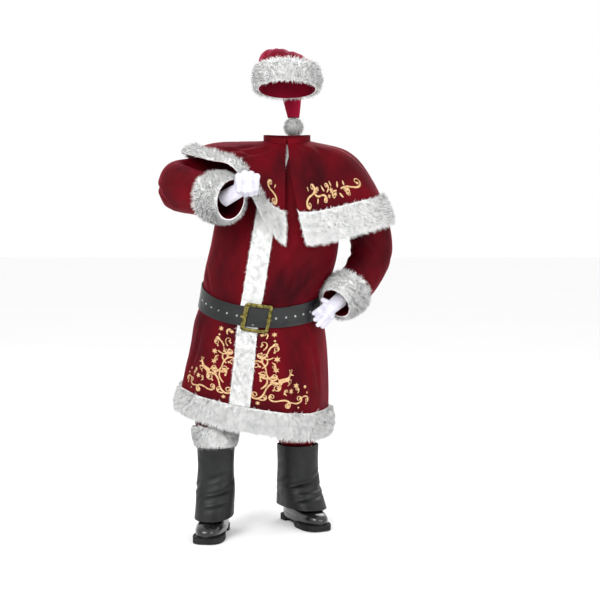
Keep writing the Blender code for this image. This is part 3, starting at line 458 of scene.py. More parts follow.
class Finish:
    """A Principled material, with short ways to add noise, a colour mix and bumps."""

    def __init__(self, name, **constants):
        self.made = bpy.data.materials.new(name)
        self.made.use_nodes = True
        self.tree = self.made.node_tree
        self.shader = self.tree.nodes["Principled BSDF"]
        self.place = self.tree.nodes.new("ShaderNodeTexCoord").outputs["Object"]
        self.normal = None
        for label, value in constants.items():
            self.shader.inputs[label.replace("_", " ")].default_value = value

    def noise(self, scale, detail=3.0, stretch=(1, 1, 1)):
        """Noise from about 0 to 1, at scale cells to the metre."""
        moved_place = self.tree.nodes.new("ShaderNodeMapping")
        moved_place.inputs["Scale"].default_value = stretch
        texture = self.tree.nodes.new("ShaderNodeTexNoise")
        texture.inputs["Scale"].default_value = scale
        texture.inputs["Detail"].default_value = detail
        self.tree.links.new(self.place, moved_place.inputs["Vector"])
        self.tree.links.new(moved_place.outputs["Vector"], texture.inputs["Vector"])
        return texture.outputs["Fac"]

    def cells(self, scale):
        """Distances in a cell pattern, as in grained leather."""
        texture = self.tree.nodes.new("ShaderNodeTexVoronoi")
        texture.inputs["Scale"].default_value = scale
        self.tree.links.new(self.place, texture.inputs["Vector"])
        return texture.outputs["Distance"]

    def facing(self, blend):
        """0 where the surface faces the eye and 1 at its edge, for a pile's sheen."""
        weight = self.tree.nodes.new("ShaderNodeLayerWeight")
        weight.inputs["Blend"].default_value = blend
        return weight.outputs["Facing"]

    def ramp(self, factor, *stops):
        """Colours along a factor: each stop is a place from 0 to 1 and a colour."""
        ramp = self.tree.nodes.new("ShaderNodeValToRGB")
        elements = ramp.color_ramp.elements
        while len(elements) < len(stops):
            elements.new(0.5)
        for element, (place, shade) in zip(elements, stops):
            element.position = place
            element.color = (*shade, 1.0)
        self.tree.links.new(factor, ramp.inputs["Fac"])
        return ramp.outputs["Color"]

    def mix(self, factor, first, second):
        """A blend of two colour outputs."""
        blend = self.tree.nodes.new("ShaderNodeMix")
        blend.data_type = "RGBA"
        self.tree.links.new(factor, blend.inputs["Factor"])
        self.tree.links.new(first, blend.inputs["A"])
        self.tree.links.new(second, blend.inputs["B"])
        return blend.outputs["Result"]

    def paint(self, output, label="Base Color"):
        """Drives one of the shader's sockets."""
        self.tree.links.new(output, self.shader.inputs[label])

    def bump(self, height, strength, distance):
        """Adds a bump on top of those already there."""
        bump = self.tree.nodes.new("ShaderNodeBump")
        bump.inputs["Strength"].default_value = strength
        bump.inputs["Distance"].default_value = distance
        self.tree.links.new(height, bump.inputs["Height"])
        if self.normal:
            self.tree.links.new(self.normal, bump.inputs["Normal"])
        self.normal = bump.outputs["Normal"]
        self.tree.links.new(self.normal, self.shader.inputs["Normal"])


def velvet(name, deep, middle, sheen):
    """Pile cloth: brushed patches, a painted sheen lighter where the pile is seen side on, a fine nap.
    """
    made = Finish(name, Roughness=0.72, Sheen_Weight=0.10, Sheen_Roughness=0.25,
                  Sheen_Tint=(*colour(sheen), 1.0), Specular_IOR_Level=0.08)
    brushed = made.noise(7.0, 4.0, (1.0, 1.0, 0.55))
    body = made.ramp(brushed, (0.30, colour(deep)), (0.68, colour(middle)))
    # painted sheen: a lighter colour mixed into the base colour where the pile is seen side on
    edge = made.ramp(made.noise(60.0), (0.3, colour(middle)), (0.8, colour(sheen)))
    made.paint(made.mix(made.ramp(made.facing(0.28), (0.35, (0, 0, 0)), (1.0, (0.8, 0.8, 0.8))),
                        body, edge))
    made.bump(made.noise(24.0, 3.0), 0.30, 0.0015)
    made.bump(made.noise(900.0, 2.0), 0.35, 0.0004)
    return made.made


def fur(name, shade, light):
    """White plush, in soft clumps."""
    made = Finish(name, Roughness=0.9, Specular_IOR_Level=0.15, Sheen_Weight=0.3,
                  Sheen_Roughness=0.5)
    made.paint(made.ramp(made.noise(55.0, 4.0), (0.30, colour(shade)), (0.62, colour(light))))
    made.bump(made.noise(420.0, 3.0), 0.5, 0.0010)
    return made.made


def leather(name, dark, worn, roughness, coat=0.0, grain=420.0):
    """Grained leatherette with greyer, duller wear."""
    made = Finish(name, Roughness=roughness, Specular_IOR_Level=0.3, Coat_Weight=coat,
                  Coat_Roughness=0.12)
    made.paint(made.ramp(made.noise(11.0, 5.0, (1, 1, 1.6)), (0.35, colour(dark)),
                         (0.75, colour(worn))))
    low, high = roughness * 0.8, min(roughness * 1.35, 1.0)
    made.paint(made.ramp(made.noise(35.0), (0.3, (low,) * 3), (0.7, (high,) * 3)), "Roughness")
    made.bump(made.noise(16.0, 3.0), 0.35, 0.0020)
    made.bump(made.cells(grain), 0.30, 0.0005)
    return made.made


def metal(name, dark, bright, roughness):
    """Old metal: dull patches between rubbed ones."""
    made = Finish(name, Metallic=0.9, Roughness=roughness)
    made.paint(made.ramp(made.noise(90.0, 5.0), (0.35, colour(dark)), (0.68, colour(bright))))
    rough = made.ramp(made.noise(150.0), (0.3, (roughness * 0.8,) * 3), (0.7, (roughness * 1.5,) * 3))
    made.paint(rough, "Roughness")
    made.bump(made.noise(300.0, 3.0), 0.25, 0.0004)
    return made.made


def gold_print(name):
    """Foil printed on pile: it breaks up a little where the pile shows through."""
    made = Finish(name, Metallic=0.25, Roughness=0.45)
    made.paint(made.ramp(made.noise(130.0, 4.0), (0.28, colour("94693E")), (0.45, colour("BF9A6C")),
                         (0.75, colour("D8B78C"))))
    made.bump(made.noise(500.0, 3.0), 0.4, 0.0004)
    return made.made


def knit(name):
    """Fine white knit: close wales along the hand."""
    made = Finish(name, Roughness=0.85, Sheen_Weight=0.2, Sheen_Roughness=0.5)
    made.paint(made.ramp(made.noise(40.0), (0.3, colour("B4B2C0")), (0.7, colour("D4D2DC"))))
    wales = made.tree.nodes.new("ShaderNodeTexWave")
    wales.inputs["Scale"].default_value = 210.0
    wales.inputs["Distortion"].default_value = 0.6
    made.tree.links.new(made.place, wales.inputs["Vector"])
    made.bump(wales.outputs["Fac"], 0.25, 0.0004)
    return made.made


# the last colour of each velvet tints the shader's sheen and the painted sheen at the pile's edge
VELVET = velvet("velvet", "2E0007", "62000E", "B01A42")
HAT_VELVET = velvet("hat_velvet", "5C0416", "8C0C2C", "D65A86")
FUR = fur("fur", "E2E4E3", "FCFCFB")
BELT_LEATHER = leather("belt_leather", "070809", "17191A", 0.30, coat=0.15)
BOOT_LEATHER = leather("boot_leather", "0C0D0D", "191A1A", 0.46)
SHOE_LEATHER = leather("shoe_leather", "0B0B0C", "1C1C1D", 0.22, coat=0.6, grain=700.0)
SOLE_RUBBER = leather("sole_rubber", "0C0C0C", "1A1A1A", 0.7, grain=300.0)
BRASS = metal("brass", "3A3612", "8C8248", 0.32)
NICKEL = metal("nickel", "8C9090", "DADDDC", 0.25)
GOLD = gold_print("gold_print")
KNIT = knit("glove_knit")


# ---------------------------------------------------------------- sampled surfaces

def evenly(start, end, count):
    """Numbers from start to end in count equal steps."""
    return [start + (end - start) * index / count for index in range(count + 1)]


def around(count):
    """Columns that go once round a tube."""
    return lambda first: [2 * math.pi * index / count for index in range(count)]


class Grid:
    """A surface's points and outward normals, in rows and columns."""

    def __init__(self, surface, rows, columns, wrap=False, facing=1):
        self.points = np.array([[surface(first, second) for second in columns(first)]
                                for first in rows])
        self.wrap = wrap
        down = np.gradient(self.points, axis=0)
        if wrap:
            across = np.roll(self.points, -1, axis=1) - np.roll(self.points, 1, axis=1)
        else:
            across = np.gradient(self.points, axis=1)
        self.normals = unit(np.cross(across, down)) * facing * math.copysign(1, rows[1] - rows[0])
        self.down = unit(down)
        self.across = unit(across)


def unit(vectors):
    """Vectors made one metre long."""
    return vectors / np.maximum(np.linalg.norm(vectors, axis=-1, keepdims=True), 1e-12)


def add_piece(name, points, faces, finish, slot, stands_for=()):
    """A new piece in place, riding on the one body, with its finish and what it stands for."""
    mesh = bpy.data.meshes.new(name)
    mesh.from_pydata(np.asarray(points).tolist(), [], np.asarray(faces).tolist()
                     if isinstance(faces, np.ndarray) else faces)
    mesh.materials.append(finish)
    mesh.shade_smooth()
    made = bpy.data.objects.new(name, mesh)
    bpy.context.scene.collection.objects.link(made)
    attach(made, "root")
    if stands_for:
        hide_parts(*stands_for)
    return made


def walls(name, outer, inner, wrap, finish, slot, stands_for):
    """A closed wall between two grids of points."""
    rows, columns = outer.shape[:2]
    count = rows * columns
    index = np.arange(count).reshape(rows, columns)
    if wrap:
        index = np.concatenate([index, index[:, :1]], axis=1)

    def quads(*corners):
        return np.stack([corner.ravel() for corner in corners], axis=1)

    front = quads(index[:-1, :-1], index[:-1, 1:], index[1:, 1:], index[1:, :-1])
    edges = [index[0], index[-1][::-1]]
    if not wrap:
        edges += [index[::-1, 0], index[:, -1]]
    rims = [quads(edge[1:], edge[:-1], edge[:-1] + count, edge[1:] + count) for edge in edges]
    faces = np.concatenate([front, front[:, ::-1] + count, *rims])
    points = np.concatenate([outer.reshape(-1, 3), inner.reshape(-1, 3)])
    made = add_piece(name, points, faces, finish, slot, stands_for)
    face_out(made)
    return made


def shell(name, grid, inner, outer, finish, slot, stands_for):
    """A closed wall between two offsets of a grid, each a number or one for every point."""
    skins = [grid.points + grid.normals * np.broadcast_to(offset, grid.points.shape[:2])[..., None]
             for offset in (outer, inner)]
    return walls(name, *skins, grid.wrap, finish, slot, stands_for)


def face_out(piece):
    """Turns every face of a closed piece outwards, and keeps its rims crisp."""
    work = bmesh.new()
    work.from_mesh(piece.data)
    bmesh.ops.recalc_face_normals(work, faces=work.faces)
    work.to_mesh(piece.data)
    work.free()
    piece.data.set_sharp_from_angle(angle=math.radians(60))


# ---------------------------------------------------------------- folds and fur

def beside_line(points, spots):
    """Each point's distance from a line through spots, and its share of the way along."""
    nearest = np.full(points.shape[:-1], 1e9)
    along = np.zeros(points.shape[:-1])
    pairs = list(zip(spots, spots[1:]))
    for number, (start, end) in enumerate(pairs):
        step = end - start
        share = np.clip((points - start) @ step / (step @ step), 0, 1)
        away = np.linalg.norm(points - start - share[..., None] * step, axis=-1)
        closer = away < nearest
        nearest = np.where(closer, away, nearest)
        along = np.where(closer, (number + share) / len(pairs), along)
    return nearest, along


def relief(points, surface, folds, unit_size=math.radians(1)):
    """How far cloth stands out at each point. A row of folds is a line from one place on the
    surface to another, with a bend: a trough has soft shoulders, and a ridge soft hollows."""
    depth = soft_waves(points, 0.055, 0.0010)
    for first_a, second_a, first_b, second_b, bend, half_width, height in folds:
        spots = []
        for share in evenly(0, 1, 12):
            second = second_a + (second_b - second_a) * share + bend * 4 * share * (1 - share)
            spots.append(np.array(surface(first_a + (first_b - first_a) * share,
                                          second * unit_size)))
        away, along = beside_line(points, spots)
        fading = np.sin(np.pi * np.clip(along, 0.02, 0.98)) ** 0.6
        ratio = away / (half_width * (0.75 + 0.35 * fading))
        middle = np.exp(-ratio ** 2)
        shoulder = np.exp(-((ratio - 2.0) / 0.9) ** 2)
        depth = depth + height * fading * (middle - 0.32 * shoulder)
    return depth


def soft_waves(points, size, depth, seed=3):
    """A gentle unevenness through space, which runs on across seams."""
    chance = np.random.default_rng(seed)
    field = np.zeros(points.shape[:-1])
    for _ in range(7):
        direction = chance.normal(size=3)
        field += np.sin(points @ direction / size + chance.uniform(0, 6.28))
    return field * depth / 2.6


def velvet_wall(node, grid, surface, creases, unit_size=math.radians(1)):
    """A garment's velvet with its folds, as a sheet in place of its node."""
    depth = relief(grid.points, surface, creases, unit_size)
    made = shell(node + "_velvet", grid, depth - CLOTH, depth, VELVET, "velvet", (node,))


def loaf(grid, pile):
    """The height of a fur band's base, which swells between its top and bottom edges."""
    share = np.linspace(0, 1, grid.points.shape[0])[:, None]
    lumps = 1 + soft_waves(grid.points, 0.012, 0.22, seed=5)
    return pile * (0.35 + 0.65 * np.sin(np.pi * share) ** 0.7) * lumps


def tufts(name, grid, base, count, length, comb, seed, spread=0.40, drooping=0.25):
    """Fur on a grid: slim blades in clumps, which lean down it by comb and out at its edges."""
    chance = np.random.default_rng(seed)
    rows, columns = grid.points.shape[:2]
    roots = grid.points + grid.normals * base[..., None]
    steps = columns if grid.wrap else columns - 1
    corner = np.arange(steps)
    beside = (corner + 1) % columns
    sides = np.linalg.norm(roots[:-1][:, beside] - roots[:-1][:, corner], axis=-1)
    heights = np.linalg.norm(roots[1:][:, corner] - roots[:-1][:, corner], axis=-1)
    shares = (sides * heights).ravel()
    cell = chance.choice(shares.size, size=count, p=shares / shares.sum())
    row, column = cell // steps, cell % steps
    u, v = chance.random((2, count))[:, :, None]

    def between(values):
        upper = values[row, column] * (1 - v) + values[row, beside[column]] * v
        lower = values[row + 1, column] * (1 - v) + values[row + 1, beside[column]] * v
        return upper * (1 - u) + lower * u

    root, normal = between(roots), unit(between(grid.normals))
    down, across = unit(between(grid.down)), unit(between(grid.across))
    place_down = (row[:, None] + u) / (rows - 1) * 2 - 1
    lean_down = comb + 1.1 * np.sign(place_down) * np.abs(place_down) ** 5
    lean_across = np.zeros((count, 1))
    if not grid.wrap:
        place_across = (column[:, None] + v) / (columns - 1) * 2 - 1
        lean_across = 1.1 * np.sign(place_across) * np.abs(place_across) ** 40
    clump = np.stack([soft_waves(root, 0.0035, 1.0, seed=seed + part) for part in (1, 2)], axis=1)
    stray = chance.normal(size=(count, 3)) * 0.20
    lean = (normal + down * (lean_down + clump[:, :1] * spread)
            + across * (lean_across + clump[:, 1:] * spread) + stray)
    lean = unit(lean) + np.array([0, 0, -drooping])
    long = length * (0.65 + 0.6 * chance.random((count, 1)))
    tip = root + unit(lean) * long
    wide = unit(np.cross(lean, chance.normal(size=(count, 3)))) * length * 0.055
    sunk = root - normal * 0.0012
    turned = (np.cross(wide, tip - sunk) * normal).sum(axis=1, keepdims=True) < 0
    wide = np.where(turned, -wide, wide)
    points = np.stack([sunk - wide, sunk + wide, tip], axis=1).reshape(-1, 3)
    faces = np.arange(count * 3).reshape(-1, 3)
    made = add_piece(name, points, faces, FUR, "fur")
    shading = np.repeat(unit(normal + unit(lean) * 0.35), 3, axis=0)
    made.data.normals_split_custom_set_from_vertices(shading.tolist())
    return made


def fur_trim(node, grid, pile, count, length, flat, comb=0.35, seed=1, **options):
    """A fur band on its cloth: a soft base and its pile, in place of the part's plain band."""
    base = loaf(grid, pile)
    made = shell(node + "_base", grid, 0.0005, base, FUR, "fur", (node,))
    hair = tufts(node + "_pile", grid, base, count, length, comb, seed, **options)
    return made


# ---------------------------------------------------------------- coat

COAT_CREASES = (
    # height and angle where it starts and ends (metres, degrees), bend, half width, height
    (-0.520, 13, -0.330, 60, -9, 0.010, -0.0050),
    (-0.530, 22, -0.385, 72, -8, 0.009, -0.0050),
    (-0.535, 33, -0.430, 80, -6, 0.009, -0.0045),
    (-0.540, 16, -0.440, 20, 2, 0.007, -0.0045),
    (-0.542, 26, -0.455, 31, 2, 0.006, -0.0040),
    (-0.540, 47, -0.470, 84, -4, 0.008, -0.0040),
    (-0.300, 20, -0.250, 58, 4, 0.012, -0.0030),
    (-0.535, -22, -0.400, -46, 5, 0.009, -0.0032),
    (-0.538, -44, -0.440, -74, 4, 0.009, -0.0036),
    (-0.310, -30, -0.235, -60, -4, 0.012, -0.0030),
    (-0.640, 20, -0.900, 42, 3, 0.010, -0.0060),
    (-0.645, 31, -0.945, 53, -3, 0.011, 0.0050),
    (-0.650, 38, -0.930, 61, 3, 0.009, -0.0055),
    (-0.650, 56, -0.900, 74, 2, 0.010, -0.0040),
    (-0.640, -16, -0.780, -19, 1, 0.007, -0.0035),
    (-0.645, -30, -0.930, -34, -2, 0.010, -0.0040),
    (-0.650, -48, -0.880, -54, 2, 0.010, -0.0042),
    (-0.650, -70, -0.920, -76, 2, 0.011, -0.0046),
    (-0.530, 118, -0.380, 136, 4, 0.010, -0.0048),
    (-0.540, 140, -0.420, 152, -3, 0.009, -0.0045),
    (-0.540, 163, -0.450, 168, 2, 0.008, -0.0045),
    (-0.535, 186, -0.370, 182, -3, 0.010, -0.0045),
    (-0.540, 208, -0.430, 200, 3, 0.009, -0.0045),
    (-0.530, 232, -0.390, 218, -4, 0.010, -0.0050),
    (-0.220, 130, -0.330, 158, 5, 0.013, -0.0035),
    (-0.220, 228, -0.330, 204, -5, 0.013, -0.0035),
    (-0.640, 124, -0.900, 128, 2, 0.011, -0.0050),
    (-0.645, 150, -0.940, 153, -3, 0.011, -0.0052),
    (-0.640, 172, -0.870, 173, 2, 0.010, -0.0045),
    (-0.645, 196, -0.935, 199, -2, 0.011, -0.0052),
    (-0.640, 222, -0.890, 221, 3, 0.011, -0.0050),
    (-0.650, 246, -0.930, 246, -2, 0.010, -0.0045),
)
SLEEVE_RIGHT_CREASES = (
    # station and turn where it starts and ends (degrees), bend, half width, height
    (2.2, 20, 4.6, 62, 14, 0.009, -0.0045),
    (3.2, 52, 5.4, 96, 10, 0.008, -0.0050),
    (4.2, 80, 6.2, 128, -8, 0.008, -0.0048),
    (5.2, 96, 7.2, 60, 10, 0.009, -0.0042),
    (3.0, 110, 5.0, 150, 8, 0.009, -0.0045),
    (4.6, 150, 6.6, 186, -8, 0.009, -0.0045),
    (6.4, 130, 7.8, 110, 6, 0.008, -0.0038),
    (2.4, 200, 4.4, 246, 10, 0.010, -0.0042),
    (4.8, 230, 6.8, 262, 8, 0.010, -0.0040),
    (3.4, 300, 5.6, 330, -10, 0.009, -0.0042),
    (5.8, 316, 7.6, 352, 8, 0.009, -0.0038),
)
SLEEVE_LEFT_CREASES = (
    # station and turn where it starts and ends (degrees), bend, half width, height
    (2.2, 10, 4.2, -34, 10, 0.008, -0.0042),
    (3.4, 34, 4.6, -52, 12, 0.007, -0.0050),
    (4.2, 30, 5.4, -44, -10, 0.007, -0.0048),
    (3.6, 120, 4.8, 36, 12, 0.008, -0.0042),
    (4.8, 100, 6.0, 40, 10, 0.007, -0.0038),
    (2.4, 150, 4.2, 110, 8, 0.009, -0.0038),
    (3.0, 210, 4.6, 160, 10, 0.008, -0.0045),
    (4.4, 250, 5.8, 190, -8, 0.008, -0.0042),
    (3.2, 290, 4.4, 240, 8, 0.008, -0.0042),
)
CAPE_CREASES = (
    # share down and azimuth where it starts and ends (degrees), bend, half width, height
    (0.10, 30, 0.74, 36, 3, 0.012, -0.0040),
    (0.18, 50, 0.75, 60, -3, 0.013, -0.0045),
    (0.12, 76, 0.74, 84, 4, 0.012, -0.0042),
    (0.16, 104, 0.75, 112, -4, 0.013, -0.0045),
    (0.12, 132, 0.75, 134, 4, 0.014, -0.0050),
    (0.14, 160, 0.75, 162, -4, 0.014, -0.0048),
    (0.14, -30, 0.70, -40, -4, 0.011, -0.0045),
    (0.20, -52, 0.74, -60, 3, 0.011, -0.0045),
    (0.30, -34, 0.66, -74, 6, 0.010, -0.0040),
    (0.14, -86, 0.74, -92, -4, 0.012, -0.0042),
    (0.12, -116, 0.75, -120, 4, 0.013, -0.0048),
    (0.14, -148, 0.75, -146, -4, 0.014, -0.0050),
    (0.14, -172, 0.75, -170, 3, 0.014, -0.0045),
)


def placket_angle(height):
    """The angle from the centre front to the placket's edge."""
    half_width = row_at(COAT_STATIONS, height)[2]
    return math.asin((PLACKET_HALF_WIDTH / half_width) ** (1 / OVAL_POWER))


def coat():
    """The coat's velvet, its neck band and its fur trims."""
    rows = evenly(COAT_TOP, HEM_BOTTOM, 168)
    for side_name, side in (("left", 1), ("right", -1)):
        def columns(height):
            return [side * angle for angle in evenly(0.002, math.pi / 2 - armhole_gap(height), 68)]

        velvet_wall("coat_front_" + side_name, Grid(coat_point, rows, columns, facing=side),
                    coat_point, COAT_CREASES)

    def back_columns(height):
        gap = armhole_gap(height)
        return evenly(math.pi / 2 + gap, 3 * math.pi / 2 - gap, 104)

    velvet_wall("coat_back", Grid(coat_point, rows, back_columns), coat_point, COAT_CREASES)

    def neck_point(height, angle):
        return coat_point(COAT_TOP, angle) + Vector((0, 0, height))

    band("coat_neck_band", neck_point, (0.0006, 0.030))

    placket_rows = evenly(COAT_TOP, HEM_FUR_TOP + 0.004, 150)
    grid = Grid(coat_point, placket_rows,
                lambda height: evenly(-placket_angle(height), placket_angle(height), 12))
    heights = np.array(placket_rows)[:, None]
    from_belt = np.maximum(heights - BELT_TOP, BELT_BOTTOM - heights)
    fullness = np.clip((from_belt - 0.004) / 0.07, 0.0, 1.0) * np.clip(-heights / 0.12, 0.1, 1.0)
    across = np.sin(np.pi * np.linspace(0, 1, 13))[None, :] ** 0.6
    lumps = 1 + soft_waves(grid.points, 0.014, 0.25, seed=9)
    base = PRESSED_FUR + (0.0085 * (0.35 + 0.65 * across) * lumps - PRESSED_FUR) * fullness
    base = np.maximum(base, 0.0012)
    made = shell("coat_placket_fur_base", grid, 0.0005, base, FUR, "fur", ("coat_placket_fur",))
    above = grid_rows(grid, 0, 83)
    below = grid_rows(grid, 99, 151)
    hair = [tufts("coat_placket_fur_pile_" + name, part, part_base, count, 0.0105, 0.7, seed,
                  spread=0.45)
            for name, part, part_base, count, seed in (
                ("upper", above, base[:83], 15000, 21), ("lower", below, base[99:], 9500, 22))]

    hem_rows = evenly(HEM_FUR_TOP, HEM_BOTTOM, 12)
    for side_name, side in (("left", 1), ("right", -1)):
        grid = Grid(coat_point, hem_rows,
                    lambda height: [side * angle for angle in evenly(0.002, math.pi, 120)],
                    facing=side)
        fur_trim("coat_hem_fur_" + side_name, grid, 0.0120, 24000, 0.0185, (0.86, 0.095),
                 comb=0.75, seed=30 + side)


def grid_rows(grid, first, last):
    """The part of a grid from one row up to another."""
    part = object.__new__(Grid)
    part.wrap = grid.wrap
    for name in ("points", "normals", "down", "across"):
        setattr(part, name, getattr(grid, name)[first:last])
    return part


def band(node, surface, rows):
    """A narrow velvet band that stands up at a neck."""
    grid = Grid(surface, evenly(*rows, 6), lambda first: evenly(0.03, 2 * math.pi - 0.03, 96))
    depth = soft_waves(grid.points, 0.03, 0.0006)
    made = shell(node + "_velvet", grid, depth - CLOTH, depth, VELVET, "velvet", (node,))


def sleeves():
    """Both sleeves and their fur cuffs."""
    for side_name, surface, last, creases in (
            ("right", sleeve_right_point, 9, SLEEVE_RIGHT_CREASES),
            ("left", sleeve_left_point, 7, SLEEVE_LEFT_CREASES)):
        grid = Grid(surface, evenly(0, last, 90), around(72), wrap=True)
        velvet_wall("coat_sleeve_" + side_name, grid, surface, creases)
        grid = Grid(surface, evenly(last - 1, last, 12), around(72), wrap=True)
        fur_trim("coat_cuff_fur_" + side_name, grid, 0.0125, 15000, 0.0170, (0.48, 0.10),
                 comb=0.45, seed=40 + last)


def cape():
    """The cape's halves, neck band and fur hem."""
    for side_name, side in (("left", 1), ("right", -1)):
        def columns(down):
            open_front = math.radians(2 + 15 * down * down if side > 0 else 1.5)
            return [side * azimuth for azimuth in evenly(open_front, math.pi - 0.002, 100)]

        velvet_wall("cape_" + side_name, Grid(cape_point, evenly(0, 1, 60), columns, facing=-side),
                    cape_point, CAPE_CREASES)
        grid = Grid(cape_point, evenly(CAPE_FUR_START, 1, 12), columns, facing=-side)
        fur_trim("cape_hem_fur_" + side_name, grid, 0.0120, 22000, 0.0170, (1.15, 0.09),
                 comb=0.55, seed=50 + side)

    def neck_point(height, azimuth):
        return cape_point(0.0, azimuth) + Vector((0, 0, height))

    band("cape_neck_band", neck_point, (0.0012, 0.022))


# ---------------------------------------------------------------- hat, trousers, boots

HAT_CREASES = (
    # station and turn where it starts and ends (degrees), bend, half width, height
    (1.2, -52, 3.4, -24, 6, 0.010, -0.0045),
    (1.1, 8, 3.8, 26, -6, 0.010, -0.0042),
    (1.2, 44, 3.6, 62, 6, 0.010, -0.0045),
    (2.4, -14, 5.4, 10, 8, 0.009, -0.0042),
    (3.4, 40, 7.0, 16, -8, 0.009, -0.0045),
    (4.4, -60, 7.8, -20, 8, 0.009, -0.0048),
    (6.2, 30, 10.4, 24, 10, 0.007, -0.0038),
    (6.6, -34, 10.6, -20, -8, 0.007, -0.0038),
    (1.2, 110, 4.2, 128, 6, 0.010, -0.0040),
    (1.2, 196, 4.4, 182, -6, 0.010, -0.0040),
    (1.2, 254, 4.0, 240, 6, 0.010, -0.0040),
)
TROUSER_CREASES = {
    # height and share round where it starts and ends, bend, half width, height
    "right": ((-1.020, 0.06, -1.050, 0.34, 0.02, 0.008, -0.0042),
              (-0.990, 0.20, -1.045, 0.48, 0.02, 0.009, -0.0045),
              (-1.000, 0.56, -1.045, 0.88, -0.02, 0.009, -0.0045),
              (-0.780, 0.30, -0.940, 0.36, 0.02, 0.012, -0.0045),
              (-0.760, 0.70, -0.930, 0.66, 0.02, 0.012, -0.0045)),
    "left": ((-1.120, 0.08, -1.085, 0.30, 0.02, 0.008, -0.0045),
             (-1.070, 0.16, -1.115, 0.46, 0.02, 0.009, -0.0045),
             (-1.060, 0.56, -1.110, 0.90, -0.02, 0.009, -0.0045),
             (-0.780, 0.30, -0.980, 0.36, 0.02, 0.012, -0.0045),
             (-0.760, 0.70, -0.970, 0.66, 0.02, 0.012, -0.0045)),
}
SHAFT_CREASES = {
    # share down and turn where it starts and ends (degrees), bend, half width, height
    "right": ((0.36, 60, 0.52, -30, -14, 0.007, -0.0042), (0.46, 84, 0.66, 6, 12, 0.007, -0.0046),
              (0.60, 70, 0.72, -44, -12, 0.007, -0.0048), (0.74, 52, 0.84, -60, 14, 0.008, -0.0044),
              (0.50, -40, 0.66, -110, 10, 0.007, -0.0038), (0.08, 12, 0.50, 4, 4, 0.012, -0.0028),
              (0.58, 150, 0.70, 230, 12, 0.007, -0.0044), (0.74, 140, 0.80, 240, -12, 0.007, -0.0044)),
    "left": ((0.44, 66, 0.58, -20, 14, 0.007, -0.0044), (0.56, 40, 0.66, -60, -12, 0.007, -0.0048),
             (0.66, 74, 0.74, -28, 12, 0.007, -0.0046), (0.78, 58, 0.86, -52, -12, 0.008, -0.0044),
             (0.50, -56, 0.68, -120, 10, 0.007, -0.0040), (0.06, -14, 0.46, -8, 4, 0.012, -0.0028),
             (0.58, 150, 0.70, 230, 12, 0.007, -0.0044), (0.74, 140, 0.80, 240, -12, 0.007, -0.0044)),
}
UPPER_CREASES = (
    # height over the floor and turn where it starts and ends (degrees), bend, half width, height
    (0.060, 62, 0.096, 14, 6, 0.004, -0.0018),
    (0.060, -62, 0.096, -14, -6, 0.004, -0.0018),
    (0.052, 48, 0.082, 4, 6, 0.004, -0.0014),
    (0.052, -48, 0.082, -4, -6, 0.004, -0.0014),
)


def hat():
    """The crown with its fallen tail, the fur brim and the pompom."""
    grid = Grid(hat_point, evenly(0, 11, 120), around(84), wrap=True)
    depth = relief(grid.points, hat_point, HAT_CREASES)
    made = shell("hat_crown_velvet", grid, depth - CLOTH, depth, HAT_VELVET, "hat_velvet",
                 ("hat_crown",))
    grid = Grid(hat_point, evenly(0, 1, 12), around(96), wrap=True)
    fur_trim("hat_brim_fur", grid, 0.0135, 17000, 0.0165, (0.72, 0.085), comb=0.1, seed=61)

    def ball(height, turn):
        round_height = math.pi * height
        return POMPOM_CENTRE + Vector((math.sin(round_height) * math.cos(turn),
                                       math.sin(round_height) * math.sin(turn),
                                       math.cos(round_height))) * (POMPOM_RADIUS - 0.008)

    grid = Grid(ball, evenly(0.004, 0.996, 20), around(32), wrap=True, facing=-1)
    base = np.zeros(grid.points.shape[:2])
    made = shell("hat_pompom_base", grid, -0.004, base, FUR, "fur", ("hat_pompom",))
    tufts("hat_pompom_pile", grid, base, 9000, 0.0150, 0.0, 62, spread=0.3, drooping=0.1)


def trousers():
    """Both legs with their cuffs, and the waistband."""
    for side_name, facing, bottom, cuff, pile, count, length, flat in (
            ("right", -1, -1.185, (-1.065, -1.130), 0.0125, 13000, 0.0170, (0.44, 0.085)),
            ("left", 1, -1.235, (-1.162, -1.235), 0.0035, 3000, 0.0060, (0.36, 0.075))):
        def surface(height, share):
            return leg_point(side_name, height, share)

        grid = Grid(surface, evenly(-0.6403, bottom, 80), lambda height: evenly(0.0, 1.0, 64),
                    facing=facing)
        velvet_wall("trouser_leg_" + side_name, grid, surface, TROUSER_CREASES[side_name],
                    unit_size=1)
        grid = Grid(surface, evenly(*cuff, 12), lambda height: evenly(0.0, 1.0, 72)[:-1],
                    wrap=True, facing=facing)
        fur_trim("trouser_cuff_fur_" + side_name, grid, pile, count, length, flat,
                 comb=0.7, seed=71 + facing)

    def waist_point(height, turn):
        half_width, half_depth = SEAT_ROWS[0][1:]
        return Vector((SEAT_CENTRE_X + half_width * math.sin(turn),
                       -half_depth * math.cos(turn), height))

    grid = Grid(waist_point, evenly(-0.6395, -0.600, 8), around(120), wrap=True)
    gathers = 0.0012 * np.cos(np.linspace(0, 2 * math.pi * 40, 120, endpoint=False))[None, :]
    made = shell("trouser_waistband_velvet", grid, gathers - CLOTH, gathers, VELVET, "velvet",
                 ("trouser_waistband",))


def boots():
    """A creased cover, a polished upper and a welted sole for each foot."""
    for side_name in BOOTS:
        def shaft(down, turn):
            return shaft_point(side_name, down, turn)

        def upper(height, turn):
            return upper_point(side_name, height, turn)

        grid = Grid(shaft, evenly(0, 1, 64), around(80), wrap=True, facing=-1)
        depth = relief(grid.points, shaft, SHAFT_CREASES[side_name])
        made = shell("boot_shaft_%s_cover" % side_name, grid, depth - LEATHER, depth,
                     BOOT_LEATHER, "boot_leather", ("boot_shaft_" + side_name,))
        grid = Grid(upper, evenly(0.0223, 0.112, 30), around(80), wrap=True)
        depth = relief(grid.points, upper, UPPER_CREASES) * 0.7
        shell("boot_upper_%s_shoe" % side_name, grid, depth - CLOTH, depth, SHOE_LEATHER,
              "shoe_leather", ("boot_upper_" + side_name,))
        sole(side_name)


